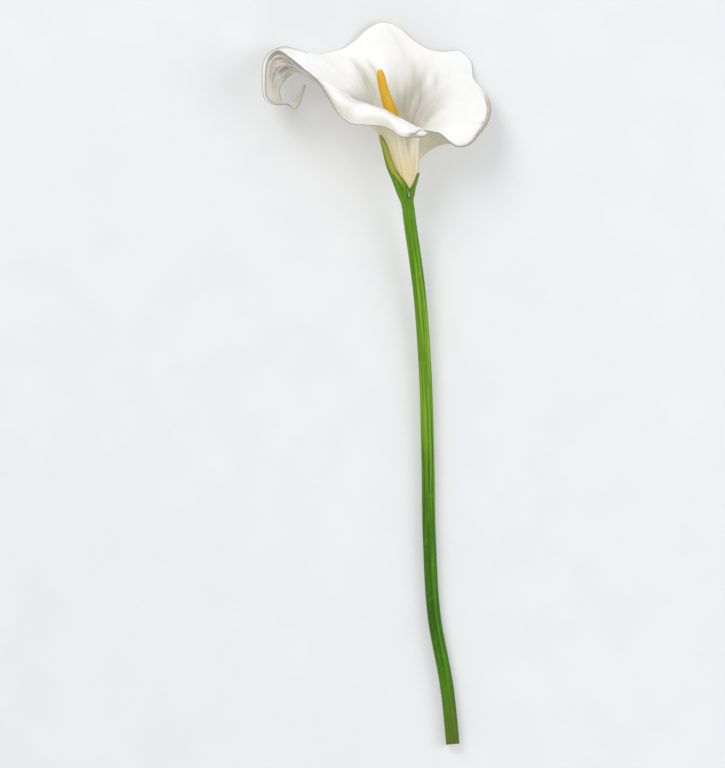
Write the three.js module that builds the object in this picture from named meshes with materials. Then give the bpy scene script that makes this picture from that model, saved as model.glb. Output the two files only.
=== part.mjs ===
// An arum lily flower as picked, lying on its back: a long round stem whose green collar clasps the
// foot of the bloom, one white sheet rolled into a funnel with a flared limb and a curled tail, and
// the finger of tiny flowers inside it.
// Millimetres. X runs to the bloom's right, Y from the cut end to the bloom, Z up from the surface
// that it lies on. Places are counted from the neck, where the stem meets the funnel.
import * as THREE from "three";

// The neck, over the middle of the flower's outline
const NECK = new THREE.Vector3(20.509, 108.552, 19.543);

// The funnel's axis climbs and leans to the left of the stem, in degrees
const AXIS_CLIMB = 16;
const AXIS_LEAN = 7;

// The funnel's radius at distances up its axis, and the sheet's thickness
const FUNNEL = [
  [0, 1.2], [6, 2.7], [9, 3.4], [12, 4.2], [18, 5.9], [24, 7.5],
  [30, 8.8], [36, 10], [42, 11.3], [48, 13.9], [54, 18],
];
// How far the funnel's middle line bows to the left of its axis, at distances up the axis
const FUNNEL_BOW = [
  [0, 0.85], [4, 1.25], [7.5, 1.35], [11, 1.2], [15.5, 0.7], [20, 0.2], [24, 0], [28, 0], [60, 0],
];
const SHEET_FOOT = 6; // how far up the axis the sheet starts
const SHEET_THICKNESS = 1.0; // in the funnel
const RIM_THICKNESS = 0.66; // at the rim and in the tail
const WRAP = 0.7; // the left margin runs this far outside the middle of the sheet, the right one inside
const WRAP_ANGLE = 14; // degrees by which each margin reaches further round at the foot
const WRAP_FADE = 0.8; // how that reach dies away up the funnel
const SPLAY_POWER = 8; // a rib with splay leaves the funnel's wall only near its throat

// The sheet's ribs, from the left margin round the front, the left, the back and the right to the
// right margin. Each row holds the rib's name, its angle round the funnel in degrees (0 is up, 90 the
// left, 180 down), how far up the axis it leaves the funnel, where it ends, how it runs there, how
// far it first carries on along the funnel, and how much wider than the funnel it opens.
const RIBS = [
  ["left margin", -65, 43, [11, 43.5, 22.5], [4, -3, 3], 8, 0],
  ["hook", -58, 43.5, [7.5, 41.5, 28.5], [0, -14, 0], 24, 0],
  ["lip right", -42, 44.5, [1.5, 40.5, 35.5], [0, -19, -2], 35, 0],
  ["lip low", -15, 46, [-6.5, 41, 39.5], [-4, -28, -4], 54.5, 0],
  ["lip crest", 5, 47, [-11.5, 44.5, 39.5], [-8, -34.5, -2], 63, 0],
  ["lip left", 20, 47, [-16.5, 46.5, 39.5], [-12, -42.5, -2], 71, 0],
  ["brim", 37, 47, [-26.5, 47.5, 37.5], [-24, -57, 0], 75, 0],
  ["brim corner", 52, 47, [-36.5, 49, 34.5], [-36, -62, 2], 81, 0],
  ["shoulder", 62, 48, [-43.5, 55, 31.5], [-46, -42, 4], 84, 0],
  ["flank low", 71, 49, [-48, 62.5, 29.5], [-52, -17, 8], 83, 0],
  ["flank high", 82, 49, [-57, 76, 26.5], [-54, 14, 10], 70, 0],
  ["tail near edge", 91, 49, [-63.5, 81.5, 24.5], [-44, 38, 0], 62, 0],
  ["tail keel", 104, 49, [-66.5, 82.5, 5.5], [-38, 12, -4], 60, 0],
  ["tail far edge", 119, 49, [-62.5, 95.5, -10.5], [-50, 10, 4], 58, 0],
  ["saddle far left", 125, 49, [-55.5, 95.2, -15], [-46, 16, -4], 57, 0],
  ["saddle left", 132, 49, [-47, 97.5, -19], [-40, 26, -10], 56, 0],
  ["saddle", 140, 49, [-40.5, 99.5, -19.1], [-28, 38, -12], 56, 0],
  ["saddle right", 149, 49, [-33.5, 104, -17.5], [-18, 52, -12], 60, 0],
  ["tall lobe left", 158, 49, [-25, 111.5, -15.5], [-12, 64, -12], 66, 0],
  ["tall lobe", 168, 49, [-16, 115, -14.5], [-6, 70, -12], 68, 0],
  ["tall lobe right", 179, 49, [-7.5, 112.5, -14.5], [6, 66, -10], 66, 0],
  ["back left", 190, 49, [2.5, 104, -14], [14, 54, -6], 60, 0],
  ["back", 201, 49, [13, 98, -14], [18, 46, -8], 56, 0],
  ["back right", 211, 49, [22, 97, -16.5], [22, 44, -14], 54, 0],
  ["far corner", 221, 48, [32, 97.5, -18.95], [34, 42, -16], 54, 0],
  ["far corner right", 231, 47, [38, 91.5, -18.85], [44, 30, -18], 52, 0],
  ["right notch", 240, 46, [39.6, 80.5, -14.5], [48, 14, -18], 50, 0.1],
  ["right lobe far", 246, 44, [47.3, 70, -9], [52, 2, -14], 50, 0.2],
  ["right lobe", 251, 42, [49.6, 61.2, -4], [46, -14, 0], 50, 0.3],
  ["right lobe near", 255, 39, [47.6, 52.3, 3.5], [32, -24, 14], 48, 0.5],
  ["low lobe far", 259, 36, [42.4, 44.6, 10.5], [20, -24, 20], 46, 0.7],
  ["low lobe", 263, 33, [35.6, 37.2, 15.3], [9, -22, 22], 42, 0.9],
  ["low lobe near", 266, 31.5, [28.4, 36, 18.5], [0, -10, 20], 36, 1],
  ["arch right", 270, 31.5, [23, 39.5, 20.5], [-6, 4, 14], 30, 1],
  ["arch", 274, 32.5, [18, 43.5, 21.5], [-6, 8, 10], 26, 0.8],
  ["arch left", 278, 36, [14, 44.5, 20.5], [-5, 6, 6], 18, 0.3],
  ["right margin", 300, 43, [5, 45.5, 18.2], [-1, 4, 2], 6, 0],
];
const TAIL_NEAR_EDGE = 11; // these ribs run on into the tail
const TAIL_FAR_EDGE = 13;

// The tail curls over, back and up to its point: how far along, then the near edge, the keel and
// the far edge of the strip.
const TAIL = [
  [0, [-63.5, 81.5, 24.5], [-66.5, 82.5, 5.5], [-62.5, 95.5, -10.5]],
  [0.14, [-72, 88.5, 24.5], [-70, 82, 4.5], [-70.5, 98, -9.5]],
  [0.28, [-80, 93.5, 23.5], [-74, 79.5, 4.5], [-79, 99, -7.5]],
  [0.42, [-86.5, 88, 20.5], [-77.5, 76, 5.5], [-88.5, 92.5, -5.5]],
  [0.56, [-88, 76.5, 17.5], [-79.5, 72, 6.5], [-90.5, 79, -2.5]],
  [0.7, [-86.5, 65, 15.5], [-79, 67, 8.5], [-88, 65.5, 0.5]],
  [0.79, [-80, 61.5, 14], [-77.5, 63, 9.5], [-81, 62.5, 4.5]],
  [0.85, [-74.5, 61.8, 13.4], [-74.3, 62.7, 10.6], [-75, 63.6, 7.2]],
  [0.91, [-69.8, 58.9, 14.8], [-69.8, 62, 13.4], [-70.2, 65, 11.6]],
  [0.96, [-66.6, 64, 15.6], [-67.1, 66, 14.8], [-67.6, 68, 13.8]],
  [1, [-63.8, 72.8, 16], [-64.1, 73.1, 15.3], [-64.5, 73.4, 14.6]],
];
const TAIL_PULL = 0.6; // how hard the limb's ribs are drawn into the tail

// The stem's middle line from the cut end to the neck, and its radius at both
const STEM = [
  [27, -331.5, -15.3], [23.5, -297.5, -15.2], [15.5, -252.5, -15.2], [12.5, -205, -15],
  [11.5, -153, -14.4], [9.5, -94, -12.4], [5.5, -45.5, -8.4], [2.8, -26, -5.6], [1.1, -15, -3.3],
  [-0.85, 0, 0],
];
const STEM_CUT_RADIUS = 4.2;
const STEM_NECK_RADIUS = 3.9;
const CUT_SLANT = 0.12; // how far the cut leans from square

// The collar's upper edge: the angle round the funnel, and how far up the axis it reaches. It dips to
// a notch in front and climbs the left side as a tongue.
const COLLAR_EDGE = [
  [-80, 19.6], [-62, 20.8], [-53, 18.6], [-45, 15.6], [-34, 13], [-24, 12.1], [-12, 13.9], [0, 16.4],
  [14, 19.2], [32, 23.5], [41, 26], [45.5, 30], [48.5, 34], [51, 39], [52.5, 43.5], [54, 47], [56.5, 48],
  [62, 46.8], [70, 44.8], [78, 42.6], [88, 39.6], [98, 35.6], [112, 29], [140, 21.5], [185, 17.6],
  [240, 17], [280, 19.6],
];
// The tongue stands off the funnel in a belly: how far, at distances up the axis, and its place and
// half width round the funnel in degrees
const TONGUE_BELLY = [
  [0, 0], [6, 0.1], [13.5, 0.45], [20, 1.05], [26, 1.5], [32, 1.15], [39, 0.5], [45, 0.1], [49, 0], [60, 0],
];
const BELLY_ANGLE = 95;
const BELLY_HALF_WIDTH = 34;
const COLLAR_THICKNESS = 0.8;
const COLLAR_EDGE_THICKNESS = 0.6;
const COLLAR_BLEND = 8; // the stem widens into the collar over this length
const COLLAR_LEAD = 0.9; // the collar opens this far ahead of the funnel, to stay clear of its flare
const COLLAR_LAP = 0.1; // the share of its turn over which the collar steps out over the left margin
const GAP = 0.3; // left between neighbouring pieces

// The finger's middle line from its foot to its tip, and its radius at distances along it
const SPADIX = [
  [-2, 5.8, 1.7], [-2.6, 12, 3.5], [-3, 18, 5.2], [-5.5, 34, 10.5], [-11.5, 57, 17.3], [-15.2, 67.5, 20.5],
  [-18.6, 82.3, 25],
];
const FEMALE_ZONE = [[0, 1], [3, 1.6], [7, 2.6], [12, 3.3], [20, 3.8]];
const MALE_ZONE = [
  [20.3, 3.8], [45, 3.85], [54.5, 3.75], [59.5, 3.38], [65, 2.9], [72, 2.6], [77, 2.3], [79.6, 1.85],
  [80.9, 1.3], [81.5, 0.8],
];
const OVARY_RELIEF = 0.25;
const STAMEN_RELIEF = 0.22;

// How finely the surfaces are divided
const SHEET_COLUMNS = 96;
const FUNNEL_ROWS = 6;
const LIMB_ROWS = 9;
const TAIL_ROWS = 20;
const COLLAR_COLUMNS = 48;
const COLLAR_ROWS = 7;
const COLLAR_SAMPLES = 720;
const STEM_RINGS = 16;
const OVARY_SIDES = 16;
const OVARY_ROWS = 12;
const STAMEN_SIDES = 20;
const STAMEN_ROWS = 50;
const STEP = 0.1; // the short way either side from which a slope or a course is read

const axis = new THREE.Vector3(0, 1, 0)
  .applyAxisAngle(new THREE.Vector3(1, 0, 0), THREE.MathUtils.degToRad(AXIS_CLIMB))
  .applyAxisAngle(new THREE.Vector3(0, 0, 1), THREE.MathUtils.degToRad(AXIS_LEAN));

// Two directions square to a course: up and to the right of it.
function squareTo(course) {
  const up = new THREE.Vector3(0, 0, 1).addScaledVector(course, -course.z).normalize();
  return { up, right: new THREE.Vector3().crossVectors(course, up) };
}

const { up: axisUp, right: axisRight } = squareTo(axis);

// The unit direction out from a course at an angle in degrees, 0 up and 90 to the left.
function outward(angle, up = axisUp, right = axisRight) {
  const turn = THREE.MathUtils.degToRad(angle);
  return up.clone().multiplyScalar(Math.cos(turn)).addScaledVector(right, -Math.sin(turn));
}

function smooth(t) {
  const x = Math.min(Math.max(t, 0), 1);
  return x * x * (3 - 2 * x);
}

// A cubic that leaves from with the course leaving and arrives at to with the course arriving.
function cubic(from, leaving, to, arriving, t) {
  const rest = 1 - t;
  return (
    (1 + 2 * t) * rest * rest * from +
    t * rest * rest * leaving +
    t * t * (3 - 2 * t) * to -
    t * t * rest * arriving
  );
}

// A smooth curve through rows of numbers that stand at rising knots, read at one place.
function spline(knots, rows, at) {
  const last = knots.length - 1;
  const next = knots.findIndex((knot, i) => i > 0 && at < knot);
  const i = next < 0 ? last - 1 : next - 1;
  const width = (j) => knots[j + 1] - knots[j];
  const rise = (j, k) => (rows[j + 1][k] - rows[j][k]) / width(j);
  const inner = (j, k) => (rise(j - 1, k) * width(j) + rise(j, k) * width(j - 1)) / (width(j - 1) + width(j));
  const slope = (j, k) => {
    if (j === 0) return 1.5 * rise(0, k) - 0.5 * inner(1, k);
    if (j === last) return 1.5 * rise(last - 1, k) - 0.5 * inner(last - 1, k);
    return inner(j, k);
  };
  const t = (at - knots[i]) / width(i);
  return rows[0].map((_, k) =>
    cubic(rows[i][k], slope(i, k) * width(i), rows[i + 1][k], slope(i + 1, k) * width(i), t),
  );
}

// A radius read from a list of pairs of distance and radius.
function radiusAt(profile, distance) {
  return spline(profile.map((row) => row[0]), profile.map((row) => [row[1]]), distance)[0];
}

// A smooth line through points, with its place and course at distances measured along its chords.
function lineThrough(points) {
  const knots = [0];
  for (let i = 1; i < points.length; i += 1) {
    knots.push(knots[i - 1] + Math.hypot(...points[i].map((value, k) => value - points[i - 1][k])));
  }
  const at = (distance) => new THREE.Vector3(...spline(knots, points, distance));
  const courseAt = (distance) => at(distance + STEP).sub(at(distance - STEP)).normalize();
  return { length: knots[knots.length - 1], at, courseAt };
}

// How far each turn of the rolled sheet stands outside its middle radius, and inside where negative.
function wrapOffset(angle) {
  const start = RIBS[0][1];
  const whole = RIBS[RIBS.length - 1][1] - start;
  return WRAP * (1 - (2 * (angle - start)) / whole);
}

function funnelPoint(angle, distance, radius) {
  const middle = axis.clone().multiplyScalar(distance);
  middle.addScaledVector(axisRight, -radiusAt(FUNNEL_BOW, distance));
  return middle.addScaledVector(outward(angle), radius);
}

// The ribs' numbers between the listed ribs, at even steps round the rim. The ribs that run on into
// the tail fall on whole columns.
function ribColumns() {
  const rows = RIBS.map(([, angle, throat, rim, turn, reach, splay]) => [
    angle, throat, ...rim, ...turn, reach, splay,
  ]);
  const places = [0];
  for (let i = 1; i < rows.length; i += 1) {
    const rimStep = Math.hypot(...[2, 3, 4].map((k) => rows[i][k] - rows[i - 1][k]));
    const throatStep = THREE.MathUtils.degToRad(rows[i][0] - rows[i - 1][0]) * radiusAt(FUNNEL, rows[i][1]);
    places.push(places[i - 1] + rimStep + throatStep);
  }
  const whole = places[places.length - 1];
  const columnOf = (rib) => Math.round((places[rib] / whole) * (SHEET_COLUMNS - 1));
  const near = columnOf(TAIL_NEAR_EDGE);
  const far = columnOf(TAIL_FAR_EDGE);
  const marks = [0, near, far, SHEET_COLUMNS - 1];
  const marked = [0, places[TAIL_NEAR_EDGE], places[TAIL_FAR_EDGE], whole];
  const columns = Array.from({ length: SHEET_COLUMNS }, (_, j) => {
    const part = marks.findIndex((mark, i) => i > 0 && j <= mark);
    const i = Math.max(part, 1);
    const t = (j - marks[i - 1]) / (marks[i] - marks[i - 1]);
    const [angle, throat, x, y, z, dx, dy, dz, reach, splay] = spline(
      places, rows, THREE.MathUtils.lerp(marked[i - 1], marked[i], t),
    );
    const side = (2 * j) / (SHEET_COLUMNS - 1) - 1;
    return {
      angle, throat, reach, splay, side,
      rim: new THREE.Vector3(x, y, z),
      turn: new THREE.Vector3(dx, dy, dz),
    };
  });
  return { columns, near, far };
}

// The tail's rows of points, from its root to its point.
function tailRows(count) {
  const knots = TAIL.map((row) => row[0]);
  const rows = TAIL.map(([, near, keel, far]) => [...near, ...keel, ...far]);
  return Array.from({ length: TAIL_ROWS + 1 }, (_, i) => {
    const [a, b, c, d, e, f, g, h, k] = spline(knots, rows, i / TAIL_ROWS);
    const near = new THREE.Vector3(a, b, c);
    const keel = new THREE.Vector3(d, e, f);
    const far = new THREE.Vector3(g, h, k);
    return Array.from({ length: count }, (_, j) => {
      const q = (2 * j) / (count - 1) - 1;
      return new THREE.Vector3()
        .addScaledVector(near, (q * (q - 1)) / 2)
        .addScaledVector(keel, 1 - q * q)
        .addScaledVector(far, (q * (q + 1)) / 2);
    });
  });
}

// One rib's points: up the funnel, then out over the limb to the rim.
function ribPoints({ angle, throat, reach, splay, side, rim, turn }) {
  const points = [];
  for (let k = 0; k < FUNNEL_ROWS; k += 1) {
    const f = k / FUNNEL_ROWS;
    const distance = SHEET_FOOT + f * (throat - SHEET_FOOT);
    const roll = angle + Math.sign(side) * Math.abs(side) ** 3 * WRAP_ANGLE * (1 - f) ** WRAP_FADE;
    const opening = (splay * throat * f ** SPLAY_POWER) / SPLAY_POWER;
    points.push(funnelPoint(roll, distance, radiusAt(FUNNEL, distance) + wrapOffset(angle) + opening));
  }
  const rise = radiusAt(FUNNEL, throat + STEP) - radiusAt(FUNNEL, throat - STEP);
  const slope = rise / (2 * STEP) + splay;
  const radius = radiusAt(FUNNEL, throat) + wrapOffset(angle) + (splay * throat) / SPLAY_POWER;
  const start = funnelPoint(angle, throat, radius);
  const leaving = axis.clone().addScaledVector(outward(angle), slope).setLength(reach);
  for (let k = 0; k <= LIMB_ROWS; k += 1) {
    const t = k / LIMB_ROWS;
    points.push(
      new THREE.Vector3(
        cubic(start.x, leaving.x, rim.x, turn.x, t),
        cubic(start.y, leaving.y, rim.y, turn.y, t),
        cubic(start.z, leaving.z, rim.z, turn.z, t),
      ),
    );
  }
  return points;
}

// A closed solid from a sheet of quads: both faces are split into the same triangles, and each free
// edge of the sheet gets a wall.
function thicken(points, quads, thickness) {
  const normals = points.map(() => new THREE.Vector3());
  for (const [a, b, c, d] of quads) {
    const across = new THREE.Vector3().subVectors(points[c], points[a]);
    const along = new THREE.Vector3().subVectors(points[d], points[b]);
    const normal = across.cross(along);
    for (const corner of [a, b, c, d]) normals[corner].add(normal);
  }
  const count = points.length;
  const positions = [];
  for (const sign of [0.5, -0.5]) {
    points.forEach((point, i) => {
      const moved = point.clone().addScaledVector(normals[i].normalize(), sign * thickness[i]);
      positions.push(...moved.add(NECK).toArray());
    });
  }
  const triangles = [];
  const freeEdges = new Map();
  for (const [a, b, c, d] of quads) {
    triangles.push(a, b, c, a, c, d);
    triangles.push(a + count, c + count, b + count, a + count, d + count, c + count);
    for (const [from, to] of [[a, b], [b, c], [c, d], [d, a]]) {
      if (!freeEdges.delete(`${to} ${from}`)) freeEdges.set(`${from} ${to}`, [from, to]);
    }
  }
  for (const [from, to] of freeEdges.values()) {
    triangles.push(from, from + count, to + count, from, to + count, to);
  }
  return closedGeometry(positions, triangles);
}

// A closed solid from rings of points, with its first and last rings filled.
function loft(rings) {
  const sides = rings[0].length;
  const positions = rings.flat().flatMap((point) => point.clone().add(NECK).toArray());
  const triangles = [];
  for (let i = 0; i < rings.length - 1; i += 1) {
    for (let j = 0; j < sides; j += 1) {
      const a = i * sides + j;
      const b = i * sides + ((j + 1) % sides);
      triangles.push(a, b + sides, b, a, a + sides, b + sides);
    }
  }
  for (const [ring, first] of [[0, true], [rings.length - 1, false]]) {
    const middle = new THREE.Vector3();
    for (const point of rings[ring]) middle.addScaledVector(point, 1 / sides);
    const centre = positions.length / 3;
    positions.push(...middle.add(NECK).toArray());
    for (let j = 0; j < sides; j += 1) {
      const a = ring * sides + j;
      const b = ring * sides + ((j + 1) % sides);
      triangles.push(...(first ? [centre, a, b] : [centre, b, a]));
    }
  }
  return closedGeometry(positions, triangles);
}

function closedGeometry(positions, triangles) {
  const geometry = new THREE.BufferGeometry();
  geometry.setAttribute("position", new THREE.Float32BufferAttribute(positions, 3));
  geometry.setIndex(triangles);
  geometry.computeVertexNormals();
  return geometry;
}

function spatheGeometry() {
  const { columns, near, far } = ribColumns();
  const tail = tailRows(far - near + 1);
  tail[0].forEach((point, k) => {
    columns[near + k].rim = point;
    columns[near + k].turn = tail[1][k].clone().sub(point).multiplyScalar(TAIL_ROWS * TAIL_PULL);
  });
  const ribs = columns.map(ribPoints);
  const rows = FUNNEL_ROWS + LIMB_ROWS + 1;
  const points = [];
  const thickness = [];
  for (let i = 0; i < rows; i += 1) {
    const thinning = smooth((i - FUNNEL_ROWS) / LIMB_ROWS);
    for (const rib of ribs) {
      points.push(rib[i]);
      thickness.push(THREE.MathUtils.lerp(SHEET_THICKNESS, RIM_THICKNESS, thinning));
    }
  }
  const quads = [];
  for (let i = 0; i < rows - 1; i += 1) {
    for (let j = 0; j < SHEET_COLUMNS - 1; j += 1) {
      const a = i * SHEET_COLUMNS + j;
      quads.push([a, a + 1, a + 1 + SHEET_COLUMNS, a + SHEET_COLUMNS]);
    }
  }
  let below = tail[0].map((_, k) => (rows - 1) * SHEET_COLUMNS + near + k);
  for (const row of tail.slice(1)) {
    const above = row.map((_, k) => points.length + k);
    points.push(...row);
    thickness.push(...row.map(() => RIM_THICKNESS));
    for (let k = 0; k < row.length - 1; k += 1) {
      quads.push([below[k], below[k + 1], above[k + 1], above[k]]);
    }
    below = above;
  }
  return thicken(points, quads, thickness);
}

// The collar's angles and edge heights at even steps along its edge, from the tongue's tip round.
function collarColumns() {
  const knots = COLLAR_EDGE.map((row) => row[0]);
  const heights = COLLAR_EDGE.map((row) => [row[1]]);
  const first = knots[0];
  const samples = [];
  let length = 0;
  for (let i = 0; i <= COLLAR_SAMPLES; i += 1) {
    const angle = first + (360 * i) / COLLAR_SAMPLES;
    const [height] = spline(knots, heights, angle);
    if (i > 0) {
      const before = samples[i - 1];
      const around = THREE.MathUtils.degToRad(angle - before.angle) * radiusAt(FUNNEL, height);
      length += Math.hypot(around, height - before.height);
    }
    samples.push({ angle, height, length });
  }
  const tip = samples.reduce((best, sample) => (sample.height > best.height ? sample : best));
  return Array.from({ length: COLLAR_COLUMNS }, (_, j) => {
    const place = (tip.length + (length * j) / COLLAR_COLUMNS) % length;
    return samples.find((sample) => sample.length >= place);
  });
}

// The collar's inner radius: it clears the rolled sheet, also where the left margin ends over the
// right one.
function collarInside(angle, distance) {
  const around = (angle - COLLAR_EDGE[0][0]) / 360;
  const overMargin = 2 * WRAP * smooth(1 - (1 - around) / COLLAR_LAP);
  const sheet = radiusAt(FUNNEL, distance + COLLAR_LEAD) + WRAP * (1 - 2 * around) + overMargin;
  const sideways = (angle - BELLY_ANGLE) / BELLY_HALF_WIDTH;
  const belly = radiusAt(TONGUE_BELLY, distance) * Math.exp(-(sideways ** 2));
  return sheet + SHEET_THICKNESS / 2 + GAP + belly;
}

function collarOutside(angle, distance, edge) {
  const wall = THREE.MathUtils.lerp(COLLAR_THICKNESS, COLLAR_EDGE_THICKNESS, distance / edge);
  const clasping = collarInside(angle, distance) + wall;
  return THREE.MathUtils.lerp(STEM_NECK_RADIUS, clasping, smooth(distance / COLLAR_BLEND));
}

function stemGeometry() {
  const line = lineThrough(STEM);
  const columns = collarColumns();
  const rings = [];
  for (let i = 0; i < STEM_RINGS; i += 1) {
    const t = i / STEM_RINGS;
    const place = line.at(t * line.length);
    const course = line.courseAt(t * line.length);
    const { up, right } = squareTo(course);
    const radius = THREE.MathUtils.lerp(STEM_CUT_RADIUS, STEM_NECK_RADIUS, t);
    const slant = i === 0 ? CUT_SLANT : 0;
    rings.push(
      columns.map(({ angle }) => {
        const out = outward(angle, up, right);
        return place.clone().addScaledVector(out, radius).addScaledVector(course, slant * radius * out.z);
      }),
    );
  }
  for (let k = 0; k <= COLLAR_ROWS; k += 1) {
    rings.push(
      columns.map(({ angle, height }) => {
        const distance = (height * k) / COLLAR_ROWS;
        return funnelPoint(angle, distance, collarOutside(angle, distance, height));
      }),
    );
  }
  const floor = SHEET_FOOT - SHEET_THICKNESS / 2 - GAP;
  for (let k = COLLAR_ROWS; k >= 0; k -= 1) {
    rings.push(
      columns.map(({ angle, height }) => {
        const distance = THREE.MathUtils.lerp(floor, height, k / COLLAR_ROWS);
        return funnelPoint(angle, distance, collarInside(angle, distance));
      }),
    );
  }
  return loft(rings);
}

// A stretch of the finger between the first and last distance of its profile. Every second point
// stands out by the relief, so that the surface is packed with small bosses.
function fingerGeometry(profile, sides, rows, relief) {
  const line = lineThrough(SPADIX);
  const first = profile[0][0];
  const last = profile[profile.length - 1][0];
  const rings = [];
  for (let i = 0; i <= rows; i += 1) {
    const distance = THREE.MathUtils.lerp(first, last, i / rows);
    const { up, right } = squareTo(line.courseAt(distance));
    const ends = i === 0 || i === rows;
    rings.push(
      Array.from({ length: sides }, (_, j) => {
        const boss = ends ? 0 : relief * ((i + j) % 2);
        const out = outward((360 * j) / sides, up, right);
        return line.at(distance).addScaledVector(out, radiusAt(profile, distance) + boss);
      }),
    );
  }
  return loft(rings);
}

function piece(name, geometry, colour, roughness) {
  const material = new THREE.MeshStandardMaterial({ color: colour, roughness, metalness: 0 });
  const mesh = new THREE.Mesh(geometry, material);
  mesh.name = name;
  return mesh;
}

const femaleZone = fingerGeometry(FEMALE_ZONE, OVARY_SIDES, OVARY_ROWS, OVARY_RELIEF);
const maleZone = fingerGeometry(MALE_ZONE, STAMEN_SIDES, STAMEN_ROWS, STAMEN_RELIEF);

const flower = new THREE.Group();
flower.add(piece("flower_stem", stemGeometry(), 0x7da233, 0.5));
flower.add(piece("spathe", spatheGeometry(), 0xf6f4ee, 0.5));
flower.add(piece("spadix_female_zone", femaleZone, 0xa8b56a, 0.6));
flower.add(piece("spadix_male_zone", maleZone, 0xe3a92b, 0.7));

export default flower;
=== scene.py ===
# %% [markdown]
# # An arum lily flower, picked and laid down
#
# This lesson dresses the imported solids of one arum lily: a long green stem whose head clasps the
# bloom, one white sheet (the spathe) rolled into a funnel, and the finger of tiny flowers (the
# spadix) inside it. The solids give the right size and the main shapes, but they are coarse. We
# could smooth them with a subdivision modifier, yet that would only blur them. So each finer piece
# is made again from the same curves, close enough that veins, stamens and fibres are real geometry.

import bpy
import numpy as np
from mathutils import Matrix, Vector
from mathutils.kdtree import KDTree


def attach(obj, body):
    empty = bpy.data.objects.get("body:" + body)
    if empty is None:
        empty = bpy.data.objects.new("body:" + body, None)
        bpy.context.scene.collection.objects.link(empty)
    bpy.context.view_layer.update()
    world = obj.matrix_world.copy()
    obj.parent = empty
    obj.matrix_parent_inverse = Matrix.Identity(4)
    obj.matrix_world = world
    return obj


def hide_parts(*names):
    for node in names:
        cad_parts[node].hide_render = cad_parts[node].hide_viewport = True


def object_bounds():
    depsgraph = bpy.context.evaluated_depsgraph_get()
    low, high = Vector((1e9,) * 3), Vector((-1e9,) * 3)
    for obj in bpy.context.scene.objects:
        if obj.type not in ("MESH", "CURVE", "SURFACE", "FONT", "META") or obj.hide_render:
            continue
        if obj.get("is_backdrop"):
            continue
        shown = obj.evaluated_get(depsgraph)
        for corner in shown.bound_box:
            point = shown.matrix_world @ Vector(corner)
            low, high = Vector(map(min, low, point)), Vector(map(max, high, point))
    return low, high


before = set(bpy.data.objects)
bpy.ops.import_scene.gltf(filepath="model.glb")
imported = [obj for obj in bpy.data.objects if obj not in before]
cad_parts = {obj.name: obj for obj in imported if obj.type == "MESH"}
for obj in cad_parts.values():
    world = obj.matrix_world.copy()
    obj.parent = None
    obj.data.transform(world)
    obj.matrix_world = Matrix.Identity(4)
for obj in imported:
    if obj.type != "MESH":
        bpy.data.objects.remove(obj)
cad_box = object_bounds()
print("solids:", ", ".join(sorted(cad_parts)))

# %% [markdown]
# ## The camera
#
# The flower lies on its back, so the camera looks straight down on it. One number sets the framing:
# how many millimetres one pixel of the picture covers on the surface. A long lens from two metres
# away keeps the bloom's proportions as flat as they are in the photograph.

# %% Camera
MM = 0.001
PICTURE_HEIGHT = 768
PIXEL_SIZE = 0.62  # millimetres on the surface
CAMERA_PLACE = (-8.35, -0.12, 2000)
SENSOR = 36

camera_data = bpy.data.cameras.new("camera")
camera_data.sensor_fit = "VERTICAL"
camera_data.sensor_height = SENSOR
camera_data.lens = SENSOR * CAMERA_PLACE[2] / (PICTURE_HEIGHT * PIXEL_SIZE)
camera = bpy.data.objects.new("camera", camera_data)
camera.location = Vector(CAMERA_PLACE) * MM
bpy.context.scene.collection.objects.link(camera)
bpy.context.scene.camera = camera
print(f"lens: {camera_data.lens:.1f} mm")

# %% [markdown]
# ## The curves that the real flower follows
#
# A bloom is a smooth surface, so all its rows of numbers are joined by one kind of curve: a cubic
# between each two rows, with the slope at a row taken from its two neighbours. Writing it with
# numpy lets us read thousands of places in one go.


# %% Smooth curves
def cubic(start, leaving, end, arriving, t):
    """A cubic from start to end that leaves and arrives with the given courses."""
    rest = 1 - t
    return (
        (1 + 2 * t) * rest**2 * start
        + t * rest**2 * leaving
        + t**2 * (3 - 2 * t) * end
        - t**2 * rest * arriving
    )


def spline(knots, rows, at):
    """A smooth curve through rows of numbers at rising knots, read at many places."""
    knots = np.asarray(knots, float)
    rows = np.asarray(rows, float).reshape(len(knots), -1)
    at = np.atleast_1d(np.asarray(at, float))
    width = np.diff(knots)[:, None]
    climb = np.diff(rows, axis=0) / width
    inner = (climb[:-1] * width[1:] + climb[1:] * width[:-1]) / (width[:-1] + width[1:])
    first, last = (1.5 * climb[end] - 0.5 * inner[end] for end in (0, -1))
    slope = np.vstack([first, inner, last])
    i = np.clip(np.searchsorted(knots, at, side="right") - 1, 0, len(knots) - 2)
    t = (at[:, None] - knots[i, None]) / width[i]
    return cubic(rows[i], slope[i] * width[i], rows[i + 1], slope[i + 1] * width[i], t)


def radius_at(profile, distance):
    """A radius read from pairs of distance and radius, for an array of distances of any shape."""
    distance = np.asarray(distance, float)
    knots, radii = zip(*profile)
    return spline(knots, radii, distance.ravel()).reshape(distance.shape)


print("halfway from 1 to 2, on the way to 4:", radius_at([(0, 1), (1, 2), (2, 4)], 0.5))

# %% [markdown]
# Two more words come back all through the lesson. A rise is a soft step between two places, and a
# hump is a soft spot with a middle and a half width. Both are blends: they say how much of something
# a place gets, from none to all of it.


# %% Rises and humps
def smooth(t):
    """A soft step from 0 to 1 while t goes from 0 to 1."""
    x = np.clip(t, 0, 1)
    return x * x * (3 - 2 * x)


def rise(place, start, full):
    """0 up to the start, 1 from the full place on, and a soft step between them."""
    return smooth((place - start) / (full - start))


def hump(place, middle, half_width):
    """1 in the middle, and softly down to 0 on both sides of it."""
    return np.exp(-(((place - middle) / half_width) ** 2))


def between(start, end, share):
    return start + (end - start) * share


print("a quarter of the way up a rise:", rise(0.25, 0, 1))

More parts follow.
